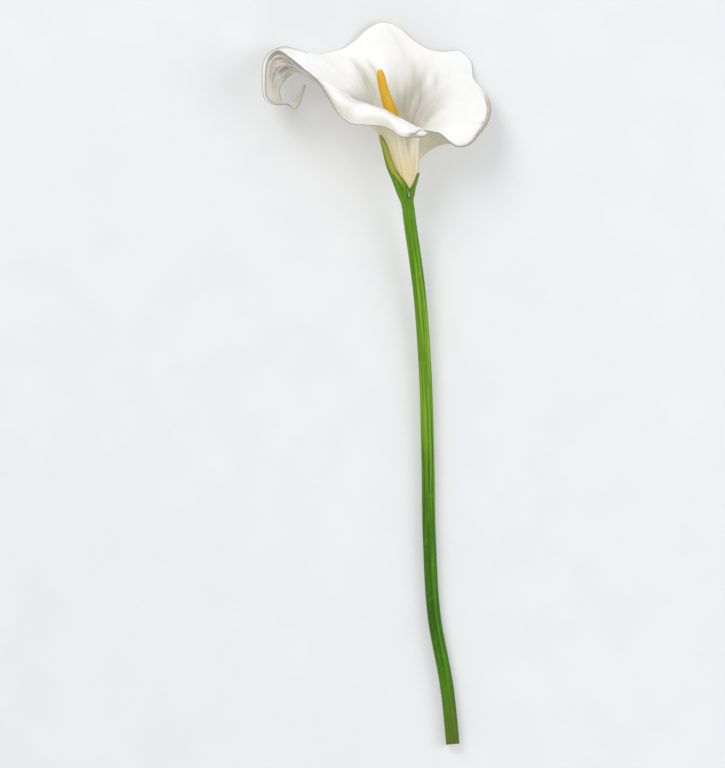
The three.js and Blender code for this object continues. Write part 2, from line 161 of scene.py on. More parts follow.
# %% [markdown]
# ## The funnel's axis
#
# The neck is where the stem meets the bloom. From there the funnel climbs off the surface and leans
# to the left. Directions round it are angles: 0 is up, 90 is the left side, 180 lies underneath.

# %% The axis and the directions round it
NECK = np.array([20.509, 108.552, 19.543])
AXIS_CLIMB = np.radians(16)
AXIS_LEAN = np.radians(7)
UP = np.array([0.0, 0.0, 1.0])

axis = np.array([
    -np.sin(AXIS_LEAN) * np.cos(AXIS_CLIMB),
    np.cos(AXIS_LEAN) * np.cos(AXIS_CLIMB),
    np.sin(AXIS_CLIMB),
])


def unit(vectors):
    return vectors / np.maximum(np.linalg.norm(vectors, axis=-1, keepdims=True), 1e-12)


def square_to(course):
    """The directions up and to the right of a course."""
    up = unit(UP - course * course[..., 2:3])
    return up, np.cross(course, up)


def outward(angle, up, right):
    turn = np.radians(angle)[..., None]
    return up * np.cos(turn) - right * np.sin(turn)


axis_up, axis_right = square_to(axis)

# How far the funnel's middle line bows to the left of its axis, at distances up the axis
FUNNEL_BOW = [
    (0, 0.85), (4, 1.25), (7.5, 1.35), (11, 1.2), (15.5, 0.7), (20, 0.2), (24, 0), (28, 0), (60, 0),
]


def funnel_point(angle, distance, radius):
    distance = np.asarray(distance, float)
    middle = axis * distance[..., None] - axis_right * radius_at(FUNNEL_BOW, distance)[..., None]
    return middle + outward(angle, axis_up, axis_right) * np.asarray(radius)[..., None]


print("axis:", axis.round(3))

# %% [markdown]
# ## From points to a Blender mesh
#
# Every piece ends as a mesh with smooth faces. Beside its place, each point may carry numbers, called
# attributes, such as how far up the sheet it lies. The materials read them, so a vein or a tint
# stays on its place in the sheet from every side.


# %% Mesh maker
def make_mesh(name, points, faces, marks, material):
    """A mesh object from points in millimetres from the neck, with named numbers on its points."""
    mesh = bpy.data.meshes.new(name)
    mesh.from_pydata(((points + NECK) * MM).tolist(), [], [list(face) for face in faces])
    for mark, values in marks.items():
        attribute = mesh.attributes.new(mark, "FLOAT", "POINT")
        attribute.data.foreach_set("value", np.asarray(values, np.float32).ravel())
    mesh.polygons.foreach_set("use_smooth", [True] * len(mesh.polygons))
    mesh.materials.append(material)
    mesh.validate()
    mesh.update()
    made = bpy.data.objects.new(name, mesh)
    bpy.context.scene.collection.objects.link(made)
    triangles = sum(len(polygon.vertices) - 2 for polygon in mesh.polygons)
    print(f"{name}: {len(points)} points, {triangles} triangles")
    return made


# %% [markdown]
# ## Tools for the finishes
#
# A finish is a small network of shader nodes. The helpers below add a node and wire its inputs in
# one line, so that each finish further on reads like a recipe for glazes: a ground tone, then thin
# coats over it, each with its amount and its colour.


# %% Node helpers
def colour(red, green, blue):
    """A colour as a shader wants it, from the numbers 0 to 255 of a colour picker."""
    levels = np.array([red, green, blue]) / 255
    linear = np.where(levels <= 0.04045, levels / 12.92, ((levels + 0.055) / 1.055) ** 2.4)
    return (*linear.tolist(), 1.0)


def add_node(tree, kind, inputs, **settings):
    node = tree.nodes.new(kind)
    for name, value in settings.items():
        setattr(node, name, value)
    for socket, value in inputs.items():
        if isinstance(value, bpy.types.NodeSocket):
            tree.links.new(value, node.inputs[socket])
        else:
            node.inputs[socket].default_value = value
    return node


def sums(tree, operation, a, b=0.0, c=0.0):
    inputs = {0: a, 1: b} if operation != "MULTIPLY_ADD" else {0: a, 1: b, 2: c}
    return add_node(tree, "ShaderNodeMath", inputs, operation=operation).outputs[0]


def times(tree, a, b):
    return sums(tree, "MULTIPLY", a, b)


print("mid grey, as a shader wants it:", [round(level, 3) for level in colour(128, 128, 128)])

# %% [markdown]
# A number from 0 to 1 says how much of a coat a place gets. It is read from a mark that the points
# carry, or from noise, and a soft step picks out the part of it that shows.


# %% How much of a coat
def mark_of(tree, name, share=1.0):
    """A number that the points carry, or a share of it."""
    mark = add_node(tree, "ShaderNodeAttribute", {}, attribute_name=name).outputs["Fac"]
    return mark if share == 1.0 else times(tree, mark, share)


def stepped(tree, value, low, high, out_low=0.0, out_high=1.0):
    """A soft step: out_low where value is below low, out_high above high."""
    inputs = {"Value": value, "From Min": low, "From Max": high, "To Min": out_low, "To Max": out_high}
    return add_node(tree, "ShaderNodeMapRange", inputs, interpolation_type="SMOOTHSTEP").outputs[0]


def noise(tree, place, scale=1.0, detail=3.0):
    inputs = {"Vector": place, "Scale": scale, "Detail": detail}
    return add_node(tree, "ShaderNodeTexNoise", inputs).outputs["Fac"]


def grain(tree, size, detail=3.0):
    """Noise between 0 and 1 in blotches of about this many millimetres."""
    place = add_node(tree, "ShaderNodeTexCoord", {}).outputs["Object"]
    return noise(tree, place, 1 / (size * MM), detail)


# %% [markdown]
# Tones are then mixed by those numbers, and laid over each other in thin coats.


# %% Tones and coats
def mixed(tree, amount, a, b):
    """Colour a where amount is 0, and colour b where it is 1."""
    inputs = {0: amount, 6: a, 7: b}
    return add_node(tree, "ShaderNodeMix", inputs, data_type="RGBA").outputs[2]


def two_tones(tree, value, low, high, below, above):
    """One colour where value is below low, and another where it is above high."""
    return mixed(tree, stepped(tree, value, low, high), colour(*below), colour(*above))


def glazed(tree, tone, *coats):
    """A tone under thin coats of paint: each is an amount from 0 to 1, and a colour."""
    for amount, tint in coats:
        tone = mixed(tree, amount, tone, colour(*tint))
    return tone


# %% [markdown]
# A finish ends at Blender's main shader: its colour, how rough it is, and a fine relief that only
# bends the light. Sheet, stem and pollen also let some light in, which spreads below their surface
# as it does in wax.


# %% Relief, wax and the shader
def raised(tree, height, depth, under=None):
    """A bump from a height between 0 and 1, this many millimetres deep, on top of another."""
    inputs = {"Height": height, "Distance": depth * MM}
    if under is not None:
        inputs["Normal"] = under
    return add_node(tree, "ShaderNodeBump", inputs).outputs[0]


def new_finish(name):
    material = bpy.data.materials.new(name)
    material.use_nodes = True
    return material, material.node_tree


def finish_off(material, settings, **wired):
    """Wire a colour, a roughness and a relief to the shader, and set what is the same all over."""
    tree = material.node_tree
    shader = tree.nodes["Principled BSDF"]
    for socket, value in wired.items():
        tree.links.new(value, shader.inputs[socket.replace("_", " ").title()])
    for socket, value in settings.items():
        shader.inputs[socket].default_value = value
    print("finish:", material.name, len(tree.nodes), "nodes")


def wax(weight, radius, size):
    """Settings for light that spreads under a surface, by how much and how many millimetres."""
    return {"Subsurface Weight": weight, "Subsurface Radius": radius, "Subsurface Scale": size * MM}


print("light that spreads 1 mm deep:", wax(0.1, (1.0, 1.0, 1.0), 1.0))

# %% [markdown]
# ## The spathe: one sheet on ribs
#
# The white trumpet is a single sheet, rolled so that its left margin lies over the right one. It
# could be sculpted or simulated, but then it would no longer match the solid that carries it. So it
# is drawn as its maker would wire it: 37 ribs leave the funnel, and each runs out to its own place
# on the rim. The table gives each rib's angle, how far up it leaves the funnel, its end, its course
# there, how far it first carries on, and how much wider than the funnel it opens.

# %% The ribs of the spathe
FUNNEL = [
    (0, 1.2), (6, 2.7), (9, 3.4), (12, 4.2), (18, 5.9), (24, 7.5),
    (30, 8.8), (36, 10), (42, 11.3), (48, 13.9), (54, 18),
]
SHEET_FOOT = 6
SHEET_THICKNESS = 1.0
RIM_THICKNESS = 0.66
WRAP = 0.7  # the left margin runs this far outside the middle of the sheet, the right one inside
WRAP_ANGLE = 14  # each margin reaches this much further round at the foot
WRAP_POWER = 3  # most of that reach is near the margins
WRAP_FADE = 0.8  # how it dies away up the funnel
SPLAY_POWER = 8  # a rib with splay leaves the funnel's wall only near its throat

RIBS = [
    ("left margin", -65, 43, (11, 43.5, 22.5), (4, -3, 3), 8, 0),
    ("hook", -58, 43.5, (7.5, 41.5, 28.5), (0, -14, 0), 24, 0),
    ("lip right", -42, 44.5, (1.5, 40.5, 35.5), (0, -19, -2), 35, 0),
    ("lip low", -15, 46, (-6.5, 41, 39.5), (-4, -28, -4), 54.5, 0),
    ("lip crest", 5, 47, (-11.5, 44.5, 39.5), (-8, -34.5, -2), 63, 0),
    ("lip left", 20, 47, (-16.5, 46.5, 39.5), (-12, -42.5, -2), 71, 0),
    ("brim", 37, 47, (-26.5, 47.5, 37.5), (-24, -57, 0), 75, 0),
    ("brim corner", 52, 47, (-36.5, 49, 34.5), (-36, -62, 2), 81, 0),
    ("shoulder", 62, 48, (-43.5, 55, 31.5), (-46, -42, 4), 84, 0),
    ("flank low", 71, 49, (-48, 62.5, 29.5), (-52, -17, 8), 83, 0),
    ("flank high", 82, 49, (-57, 76, 26.5), (-54, 14, 10), 70, 0),
    ("tail near edge", 91, 49, (-63.5, 81.5, 24.5), (-44, 38, 0), 62, 0),
    ("tail keel", 104, 49, (-66.5, 82.5, 5.5), (-38, 12, -4), 60, 0),
    ("tail far edge", 119, 49, (-62.5, 95.5, -10.5), (-50, 10, 4), 58, 0),
    ("saddle far left", 125, 49, (-55.5, 95.2, -15), (-46, 16, -4), 57, 0),
    ("saddle left", 132, 49, (-47, 97.5, -19), (-40, 26, -10), 56, 0),
    ("saddle", 140, 49, (-40.5, 99.5, -19.1), (-28, 38, -12), 56, 0),
    ("saddle right", 149, 49, (-33.5, 104, -17.5), (-18, 52, -12), 60, 0),
    ("tall lobe left", 158, 49, (-25, 111.5, -15.5), (-12, 64, -12), 66, 0),
    ("tall lobe", 168, 49, (-16, 115, -14.5), (-6, 70, -12), 68, 0),
    ("tall lobe right", 179, 49, (-7.5, 112.5, -14.5), (6, 66, -10), 66, 0),
    ("back left", 190, 49, (2.5, 104, -14), (14, 54, -6), 60, 0),
    ("back", 201, 49, (13, 98, -14), (18, 46, -8), 56, 0),
    ("back right", 211, 49, (22, 97, -16.5), (22, 44, -14), 54, 0),
    ("far corner", 221, 48, (32, 97.5, -18.95), (34, 42, -16), 54, 0),
    ("far corner right", 231, 47, (38, 91.5, -18.85), (44, 30, -18), 52, 0),
    ("right notch", 240, 46, (39.6, 80.5, -14.5), (48, 14, -18), 50, 0.1),
    ("right lobe far", 246, 44, (47.3, 70, -9), (52, 2, -14), 50, 0.2),
    ("right lobe", 251, 42, (49.6, 61.2, -4), (46, -14, 0), 50, 0.3),
    ("right lobe near", 255, 39, (47.6, 52.3, 3.5), (32, -24, 14), 48, 0.5),
    ("low lobe far", 259, 36, (42.4, 44.6, 10.5), (20, -24, 20), 46, 0.7),
    ("low lobe", 263, 33, (35.6, 37.2, 15.3), (9, -22, 22), 42, 0.9),
    ("low lobe near", 266, 31.5, (28.4, 36, 18.5), (0, -10, 20), 36, 1),
    ("arch right", 270, 31.5, (23, 39.5, 20.5), (-6, 4, 14), 30, 1),
    ("arch", 274, 32.5, (18, 43.5, 21.5), (-6, 8, 10), 26, 0.8),
    ("arch left", 278, 36, (14, 44.5, 20.5), (-5, 6, 6), 18, 0.3),
    ("right margin", 300, 43, (5, 45.5, 18.2), (-1, 4, 2), 6, 0),
]
TAIL_NEAR_EDGE = 11
TAIL_FAR_EDGE = 13
print("ribs:", len(RIBS))

# %% [markdown]
# The tip of the sheet is a long tail that curls over, back and up again. It is a strip of its own:
# each row holds how far along it is, then its near edge, its keel and its far edge. The ribs between
# its two edges run straight on into it.

# %% The curled tail
TAIL = [
    (0, (-63.5, 81.5, 24.5), (-66.5, 82.5, 5.5), (-62.5, 95.5, -10.5)),
    (0.14, (-72, 88.5, 24.5), (-70, 82, 4.5), (-70.5, 98, -9.5)),
    (0.28, (-80, 93.5, 23.5), (-74, 79.5, 4.5), (-79, 99, -7.5)),
    (0.42, (-86.5, 88, 20.5), (-77.5, 76, 5.5), (-88.5, 92.5, -5.5)),
    (0.56, (-88, 76.5, 17.5), (-79.5, 72, 6.5), (-90.5, 79, -2.5)),
    (0.7, (-86.5, 65, 15.5), (-79, 67, 8.5), (-88, 65.5, 0.5)),
    (0.79, (-80, 61.5, 14), (-77.5, 63, 9.5), (-81, 62.5, 4.5)),
    (0.85, (-74.5, 61.8, 13.4), (-74.3, 62.7, 10.6), (-75, 63.6, 7.2)),
    (0.91, (-69.8, 58.9, 14.8), (-69.8, 62, 13.4), (-70.2, 65, 11.6)),
    (0.96, (-66.6, 64, 15.6), (-67.1, 66, 14.8), (-67.6, 68, 13.8)),
    (1, (-63.8, 72.8, 16), (-64.1, 73.1, 15.3), (-64.5, 73.4, 14.6)),
]
TAIL_PULL = 0.6
TAIL_STEP = 0.05  # the stretch of tail that sets the course of the ribs which run into it


def tail_row(place, count):
    """Points across the tail, from its near edge to its far one."""
    numbers = spline([row[0] for row in TAIL], [np.ravel(row[1:]) for row in TAIL], place)[0]
    near, keel, far = numbers.reshape(3, 3)
    q = np.linspace(-1, 1, count)[:, None]
    return near * q * (q - 1) / 2 + keel * (1 - q * q) + far * q * (q + 1) / 2


print("tail:", len(TAIL), "rows, and the tip at", TAIL[-1][2])

# %% [markdown]
# The sheet is now read on a fine grid: columns round the rim, rows from the foot up. Between two
# ribs every number is read from the smooth curve through all the ribs, so the surface has no creases
# that the flower doesn't have.

# %% The spathe's middle surface
SHEET_COLUMNS = 384
FUNNEL_ROWS = 30
LIMB_ROWS = 66
EVEN_UNTIL = 0.96  # the limb's rows lie evenly up to here, and closer where the rim rolls over
RIM_ROWS = [0.972, 0.982, 0.99, 0.996, 1]
TAIL_ROWS = 60
SLOPE_STEP = 0.05  # the short way either side from which the funnel's slope is read


def rib_columns(count):
    """The ribs' numbers at many columns round the sheet, and the columns of the tail's edges."""
    rows = np.array([[angle, throat, *rim, *turn, reach, splay]
                     for _, angle, throat, rim, turn, reach, splay in RIBS])
    rim_steps = np.linalg.norm(np.diff(rows[:, 2:5], axis=0), axis=1)
    throat_steps = np.radians(np.diff(rows[:, 0])) * radius_at(FUNNEL, rows[1:, 1])
    places = np.concatenate([[0], np.cumsum(rim_steps + throat_steps)])
    tail_edges = places[[TAIL_NEAR_EDGE, TAIL_FAR_EDGE]]
    near, far = (round(place / places[-1] * (count - 1)) for place in tail_edges)
    marks = [0, near, far, count - 1]
    marked = places[[0, TAIL_NEAR_EDGE, TAIL_FAR_EDGE, -1]]
    return spline(places, rows, np.interp(np.arange(count), marks, marked)), near, far


table, tail_near, tail_far = rib_columns(SHEET_COLUMNS)
angle, throat, reach, splay = table[:, 0], table[:, 1], table[:, 8], table[:, 9]
rim, turn = table[:, 2:5].copy(), table[:, 5:8].copy()
tail_width = tail_far - tail_near + 1
root = tail_row(0, tail_width)
rim[tail_near:tail_far + 1] = root
turn[tail_near:tail_far + 1] = (tail_row(TAIL_STEP, tail_width) - root) * TAIL_PULL / TAIL_STEP


def wrap_offset(angle):
    """How far each turn of the rolled sheet stands outside its middle radius."""
    start, end = RIBS[0][1], RIBS[-1][1]
    return WRAP * (1 - 2 * (angle - start) / (end - start))


def funnel_row(f):
    distance = SHEET_FOOT + f * (throat - SHEET_FOOT)
    side = np.linspace(-1, 1, SHEET_COLUMNS)
    roll = angle + np.sign(side) * np.abs(side) ** WRAP_POWER * WRAP_ANGLE * (1 - f) ** WRAP_FADE
    opening = splay * throat * f**SPLAY_POWER / SPLAY_POWER
    return funnel_point(roll, distance, radius_at(FUNNEL, distance) + wrap_offset(angle) + opening)


above, below = radius_at(FUNNEL, throat + SLOPE_STEP), radius_at(FUNNEL, throat - SLOPE_STEP)
slope = (above - below) / (2 * SLOPE_STEP) + splay
limb_start = funnel_row(1.0)
limb_course = unit(axis + outward(angle, axis_up, axis_right) * slope[:, None]) * reach[:, None]
funnel_steps = np.arange(FUNNEL_ROWS) / FUNNEL_ROWS
limb_steps = np.concatenate([np.linspace(0, EVEN_UNTIL, LIMB_ROWS), RIM_ROWS])
tail_steps = np.arange(1, TAIL_ROWS + 1) / TAIL_ROWS

funnel_part = [funnel_row(f) for f in funnel_steps]
limb_part = [cubic(limb_start, limb_course, rim, turn, t) for t in limb_steps]
tail_part = [tail_row(s, tail_width) for s in tail_steps]
main_rows = len(funnel_part) + len(limb_part)
print("sheet:", main_rows, "rows of", SHEET_COLUMNS, "and a tail of", TAIL_ROWS, "rows of", tail_width)

# %% [markdown]
# The rows become one list of points. Each point also notes where it lies: `across` runs round the
# sheet, `along` is 0 to 1 up the funnel, 1 to 2 over the limb and 2 to 3 down the tail.

# %% Points, squares and places
points = np.vstack(funnel_part + limb_part + tail_part)
columns = np.arange(SHEET_COLUMNS)
tail_columns = np.arange(tail_near, tail_far + 1)
across = np.concatenate([np.tile(columns, main_rows), np.tile(tail_columns, TAIL_ROWS)]) / SHEET_COLUMNS
along = np.concatenate([
    np.repeat(np.concatenate([funnel_steps, 1 + limb_steps]), SHEET_COLUMNS),
    np.repeat(2 + tail_steps, tail_width),
])
round_angle = angle[np.round(across * SHEET_COLUMNS).astype(int)]


def squares(lower, upper):
    """The faces between two rows of point numbers."""
    return np.stack([lower[:-1], lower[1:], upper[1:], upper[:-1]], axis=1)


grid = np.arange(main_rows * SHEET_COLUMNS).reshape(main_rows, SHEET_COLUMNS)
strip = np.arange(TAIL_ROWS * tail_width).reshape(TAIL_ROWS, tail_width) + grid.size
strip = np.vstack([grid[-1, tail_near:tail_far + 1], strip])
quads = np.vstack([squares(*pair) for rows in (grid, strip) for pair in zip(rows[:-1], rows[1:])])
print("squares:", len(quads))

# %% [markdown]
# ## Veins, pleats and a rounded rim
#
# Seen close, the sheet is not even: fine veins run from the foot to the rim and fan out with it, and
# near the throat it is softly pleated. The relief is a sum of waves that are counted round the
# sheet, so they fan out by themselves.

# %% Relief of the sheet
PLEATS = [(9, 0.8), (14, 2.1), (19, 4.0)]  # waves round the sheet, and where each starts
VEINS = [(31, 0.4), (43, 2.9), (57, 5.2)]
PLEAT_DEPTH = 0.16
PLEATS_RISE, PLEATS_FADE = (0.5, 1.1), (1.2, 2.0)  # along the ribs
PLEATS_END = (210, 250)  # the ribs that come round to the front lie flat
VEIN_DEPTH = 0.03
VEIN_DRIFT = 0.8
VEIN_LOSS = 0.5  # veins are half as deep
VEINS_FADE = (1.7, 2.0)  # by the time that they reach the rim
MARGIN = 0.04  # the relief dies away over this share of the sheet

pleat_wave = sum(np.sin(2 * np.pi * count * across + start) for count, start in PLEATS)
vein_wave = sum(np.sin(2 * np.pi * count * across + start + VEIN_DRIFT * along) for count, start in VEINS)
pleat_reach = rise(along, *PLEATS_RISE) * (1 - rise(along, *PLEATS_FADE))
pleat_reach = pleat_reach * (1 - rise(round_angle, *PLEATS_END))
margin_fade = rise(np.minimum(across, 1 - across - 1 / SHEET_COLUMNS), 0, MARGIN)
vein_reach = 1 - VEIN_LOSS * rise(along, *VEINS_FADE)
relief = margin_fade * (PLEAT_DEPTH * pleat_wave * pleat_reach + VEIN_DEPTH * vein_wave * vein_reach)
print(f"deepest relief: {np.abs(relief).max():.2f} mm")

# %% [markdown]
# A sheet with a thickness needs two faces. Both follow from the middle surface, along its normals, the
# directions that stand square on it. The solidify modifier would do the same, but with a flat rim and
# one thickness. So we look for the sheet's free edge ourselves.


# %% Normals and the free edge
def point_normals(points, quads):
    a, b, c, d = (points[quads[:, k]] for k in range(4))
    face_normals = np.cross(c - a, d - b)
    normals = np.zeros_like(points)
    for k in range(4):
        np.add.at(normals, quads[:, k], face_normals)
    return unit(normals)


def edge_loop(quads):
    """The free edge of the sheet as one closed loop of point numbers."""
    sides = np.vstack([quads[:, [k, (k + 1) % 4]] for k in range(4)])
    directed = set(map(tuple, sides.tolist()))
    following = {a: b for a, b in directed if (b, a) not in directed}
    loop = [next(iter(sorted(following)))]
    while following[loop[-1]] != loop[0]:
        loop.append(following[loop[-1]])
    return np.array(loop)


print("free edge:", len(edge_loop(quads)), "points")

# %% [markdown]
# One face lies half the thickness inside, the other half the thickness outside, and the free edge gets
# a round bead between them, a few rings that run from one face over to the other.

# %% The two faces and the bead round the edge
BEAD_STEPS = 5
EDGE_TINT = 0.6  # how much of the rim's tint the last row of each face takes


def solid_sheet(points, quads, inner_height, outer_height, marks):
    """A closed sheet: inner face, outer face, and a round bead along the free edge."""
    count = len(points)
    normals = point_normals(points, quads)
    loop = edge_loop(quads)
    rim_course = unit(np.roll(points[loop], -1, axis=0) - np.roll(points[loop], 1, axis=0))
    away = unit(np.cross(rim_course, normals[loop]))
    upper, lower = inner_height[loop, None], outer_height[loop, None]
    beads, faces = [], [quads, quads[:, ::-1] + count]
    ring = loop
    for k in range(1, BEAD_STEPS):
        turn = np.pi * k / BEAD_STEPS
        across_edge = between(upper, -lower, (1 - np.cos(turn)) / 2)
        beads.append(points[loop] + normals[loop] * across_edge + away * (upper + lower) / 2 * np.sin(turn))
        after = 2 * count + (k - 1) * len(loop) + np.arange(len(loop))
        faces.append(np.stack([ring, after, np.roll(after, -1), np.roll(ring, -1)], axis=1))
        ring = after
    after = loop + count
    faces.append(np.stack([ring, after, np.roll(after, -1), np.roll(ring, -1)], axis=1))
    inner = points + normals * inner_height[:, None]
    outer = points - normals * outer_height[:, None]
    all_marks = {
        name: np.concatenate([values, values] + [values[loop]] * (BEAD_STEPS - 1))
        for name, values in marks.items()
    }
    bead_side = [
        np.full(len(loop), (1 - np.cos(np.pi * k / BEAD_STEPS)) / 2) for k in range(1, BEAD_STEPS)
    ]
    all_marks["outer_face"] = np.concatenate([np.zeros(count), np.ones(count)] + bead_side)
    is_edge = np.zeros(count)
    is_edge[loop] = EDGE_TINT
    all_marks["edge"] = np.concatenate([is_edge, is_edge] + [np.ones(len(loop))] * (BEAD_STEPS - 1))
    return np.vstack([inner, outer] + beads), np.vstack(faces), all_marks


print("bead:", BEAD_STEPS, "steps round the edge")

# %% [markdown]
# ## Where the sheet is shaded and tinted
#
# The inside is nearly white, with a soft grey-green painted shade that comes out of the throat and dies
# away on the limb, a warmer painted shade along the rolled rim, which near the lip's right end is also
# the beige of the sheet's back, and one more painted shade where the lip folds down. Each is read round
# the throat from a table: at each angle, how strong the shade is and between which places it fades.
# Soft lines of their own course add painted shade along the creases, and a few lines of painted light.
# Only the places are set here; the finish gives them their colours.

# %% Shades round the throat and along the rim
THROAT_SHADE = [
    # angle, strength, full until, gone at
    (-65, 0.95, 1.1, 1.55), (60, 0.95, 1.15, 1.55), (112, 1.0, 1.28, 1.51), (122, 0.95, 1.24, 1.53),
    (132, 0.86, 1.22, 1.76), (142, 0.84, 1.32, 1.92), (148, 0.76, 1.4, 1.86), (154, 0.66, 1.38, 1.82),
    (161, 0.8, 1.2, 1.66), (175, 0.88, 1.12, 1.74), (185, 0.96, 1.14, 1.84), (192, 1.0, 1.18, 1.86),
    (198, 0.92, 1.3, 1.95), (204, 0.78, 1.42, 1.93), (213, 0.76, 1.28, 1.76), (223, 0.74, 1.2, 1.8),
    (233, 0.76, 1.15, 1.76), (241, 0.74, 1.2, 1.82), (246, 0.8, 1.12, 1.7), (250, 0.46, 1.1, 1.66),
    (256, 0.32, 1.15, 1.62), (270, 0.35, 1.0, 1.4), (300, 0.5, 1.0, 1.4),
]
RIM_SHADE = [
    # angle, strength, starts at, full at
    (-65, 0.15, 1.8, 1.95), (-58, 0.15, 1.8, 1.95), (-51, 0.4, 1.88, 1.96), (-46, 0.95, 1.87, 1.94),
    (-39, 0.9, 1.84, 1.93), (-26, 0.45, 1.86, 1.96), (-12, 0.45, 1.88, 2.0), (15, 0.5, 1.8, 1.96),
    (30, 0.45, 1.8, 1.95), (50, 0.5, 1.84, 1.98), (61, 0.62, 1.78, 1.97), (70, 0.45, 1.88, 2.0),
    (82, 0.2, 1.9, 2.0), (92, 0, 1.9, 2.0), (255, 0, 1.9, 2.0), (262, 0.2, 1.8, 2.0), (300, 0.2, 1.8, 2.0),
]
FOLD_SHADE = [
    # angle, strength, where along the rib, half width
    (-65, 0, 1.62, 0.1), (-25, 0, 1.62, 0.1), (-8, 0.25, 1.62, 0.1), (8, 0.6, 1.6, 0.11),
    (28, 0.6, 1.61, 0.11), (52, 0.55, 1.6, 0.11), (62, 0.45, 1.69, 0.1), (72, 0.4, 1.73, 0.08),
    (80, 0.3, 1.75, 0.07), (88, 0, 1.78, 0.07), (300, 0, 1.78, 0.07),
]
THROAT_LIGHT = 0.32  # how much light the foot of the throat's right side gets through the sheet
LIT_FOOT = (1.04, 1.18)
LIT_SIDE = (168, 176)


def read_shade(rows):
    """The three numbers of a shade at every point, from a table by angle."""
    angles, *numbers = zip(*rows)
    return spline(angles, np.stack(numbers, axis=1), round_angle).T


strength, full_until, gone_at = read_shade(THROAT_SHADE)
throat_light = THROAT_LIGHT * (1 - rise(along, *LIT_FOOT)) * rise(round_angle, *LIT_SIDE)
throat_shade = strength * (1 - rise(along, full_until, gone_at)) * (1 - throat_light)
strength, starts_at, full_at = read_shade(RIM_SHADE)
rim_shade = np.clip(strength, 0, 1) * rise(along, starts_at, full_at)
strength, fold_at, fold_width = read_shade(FOLD_SHADE)
fold_shade = np.clip(strength, 0, 1) * hump(along, fold_at, fold_width)
print(f"shaded: {(throat_shade > 0.1).mean():.0%} of the points")

# %% Painted crease shades and streaks
CREASE_SHADES = [
    # half width, strength of the painted shade (below 0 it is painted light), and the course: how far along,
    # and at which angle
    (4.2, 0.4, ((1.4, 140), (1.5, 144.5), (1.62, 145), (1.74, 142.5), (1.86, 140), (1.97, 137))),
    (1.5, 0.36, ((1.34, 156), (1.46, 157.5), (1.56, 157), (1.65, 154.5), (1.74, 153), (1.84, 150.5))),
    (5, 0.08, ((1.38, 119), (1.5, 113), (1.62, 112), (1.76, 115))),
    (2.4, 0.2, ((1.46, 199), (1.58, 196.5), (1.7, 195), (1.82, 192), (1.94, 189))),
    (2.4, 0.18, ((1.2, 219), (1.35, 212), (1.5, 205.5), (1.62, 202))),
    (4, 0.22, ((1.4, 238), (1.5, 227), (1.6, 218), (1.7, 213), (1.82, 208))),
    (3, 0.08, ((1.62, 235), (1.72, 228), (1.86, 218))),
    (2.6, -0.14, ((1.36, 224), (1.52, 214.5), (1.63, 210), (1.8, 205))),
    (2, -0.14, ((1.3, 186), (1.5, 185), (1.62, 184.5))),
    (5, 0.2, ((1.55, 188), (1.75, 188), (1.85, 182), (1.93, 176), (2.02, 170))),
    (0.5, 0.6, ((1.88, 257.5), (1.95, 256), (2.02, 255))),
]
CREASE_STARTS, CREASE_ENDS = 0.35, 0.45  # the shares of its length over which a crease fades
SHADE_STREAKS = [
    # painted shade on the outside: the angle, half width, where it begins, is full, fades and ends, and its
    # strength
    (-13, 6, 0.6, 0.9, 1.9, 2.0, 1.0),
    (-25, 7, 0.84, 1.0, 1.9, 2.0, 0.6),
    (2, 5, 0.45, 0.78, 1.9, 2.0, 0.55),
    (-39, 8, 0.3, 0.5, 0.62, 0.78, 0.5),
    (-62, 12, 0.2, 0.6, 1.9, 2.0, 0.9),
    (292, 10, 0.2, 0.6, 1.9, 2.0, 0.6),
]
TAN_STREAKS = [
    (44, 13, -1.0, -0.5, 0.9, 1.5, 0.6),
    (19, 3, 0.1, 0.4, 0.8, 1.1, 0.2),
]
# a painted highlight down the funnel's right edge, where the margins overlap; columns as above
HIGHLIGHT_STREAKS = [
    (-46, 7, 0.2, 0.5, 1.9, 2.0, 0.8),
]
print("creases:", len(CREASE_SHADES), "streaks:", len(SHADE_STREAKS + TAN_STREAKS + HIGHLIGHT_STREAKS))

# %% [markdown]
# A streak keeps to its angle and fades at both its ends. A painted crease shade wanders across the ribs,
# so its middle is read from its own course.


# %% Lay the painted crease shades and streaks
def streaks(rows):
    total = np.zeros(len(points))
    for middle, half_width, begins, full, fades, ends, strength in rows:
        lengthwise = rise(along, begins, full) * (1 - rise(along, fades, ends))
        total = total + strength * hump(round_angle, middle, half_width) * lengthwise
    return total


def crease_shade_lines(lines):
    """Soft lines of painted shade that cross the ribs: each has its own course and fades at both its ends.
    """
    total = np.zeros(len(points))
    for half_width, strength, course in lines:
        places, angles = zip(*course)
        middle = spline(places, angles, np.clip(along, places[0], places[-1]))[:, 0]
        step = (along - places[0]) / (places[-1] - places[0])
        fading = rise(step, 0, CREASE_STARTS) * rise(1 - step, 0, CREASE_ENDS)
        total = total + strength * hump(round_angle, middle, half_width) * fading
    return total


crease_shades, streak_shades = crease_shade_lines(CREASE_SHADES), streaks(SHADE_STREAKS)
tan_streaks, highlight_streaks = streaks(TAN_STREAKS), streaks(HIGHLIGHT_STREAKS)
print("strongest crease:", crease_shades.max().round(2))

# %% [markdown]
# Where the rim rolls over, it is thicker and shows the sheet's back. At the right end of the lip it
# even makes a small scroll, whose outline climbs the ribs as an arch and is painted as a thin line of
# shade.

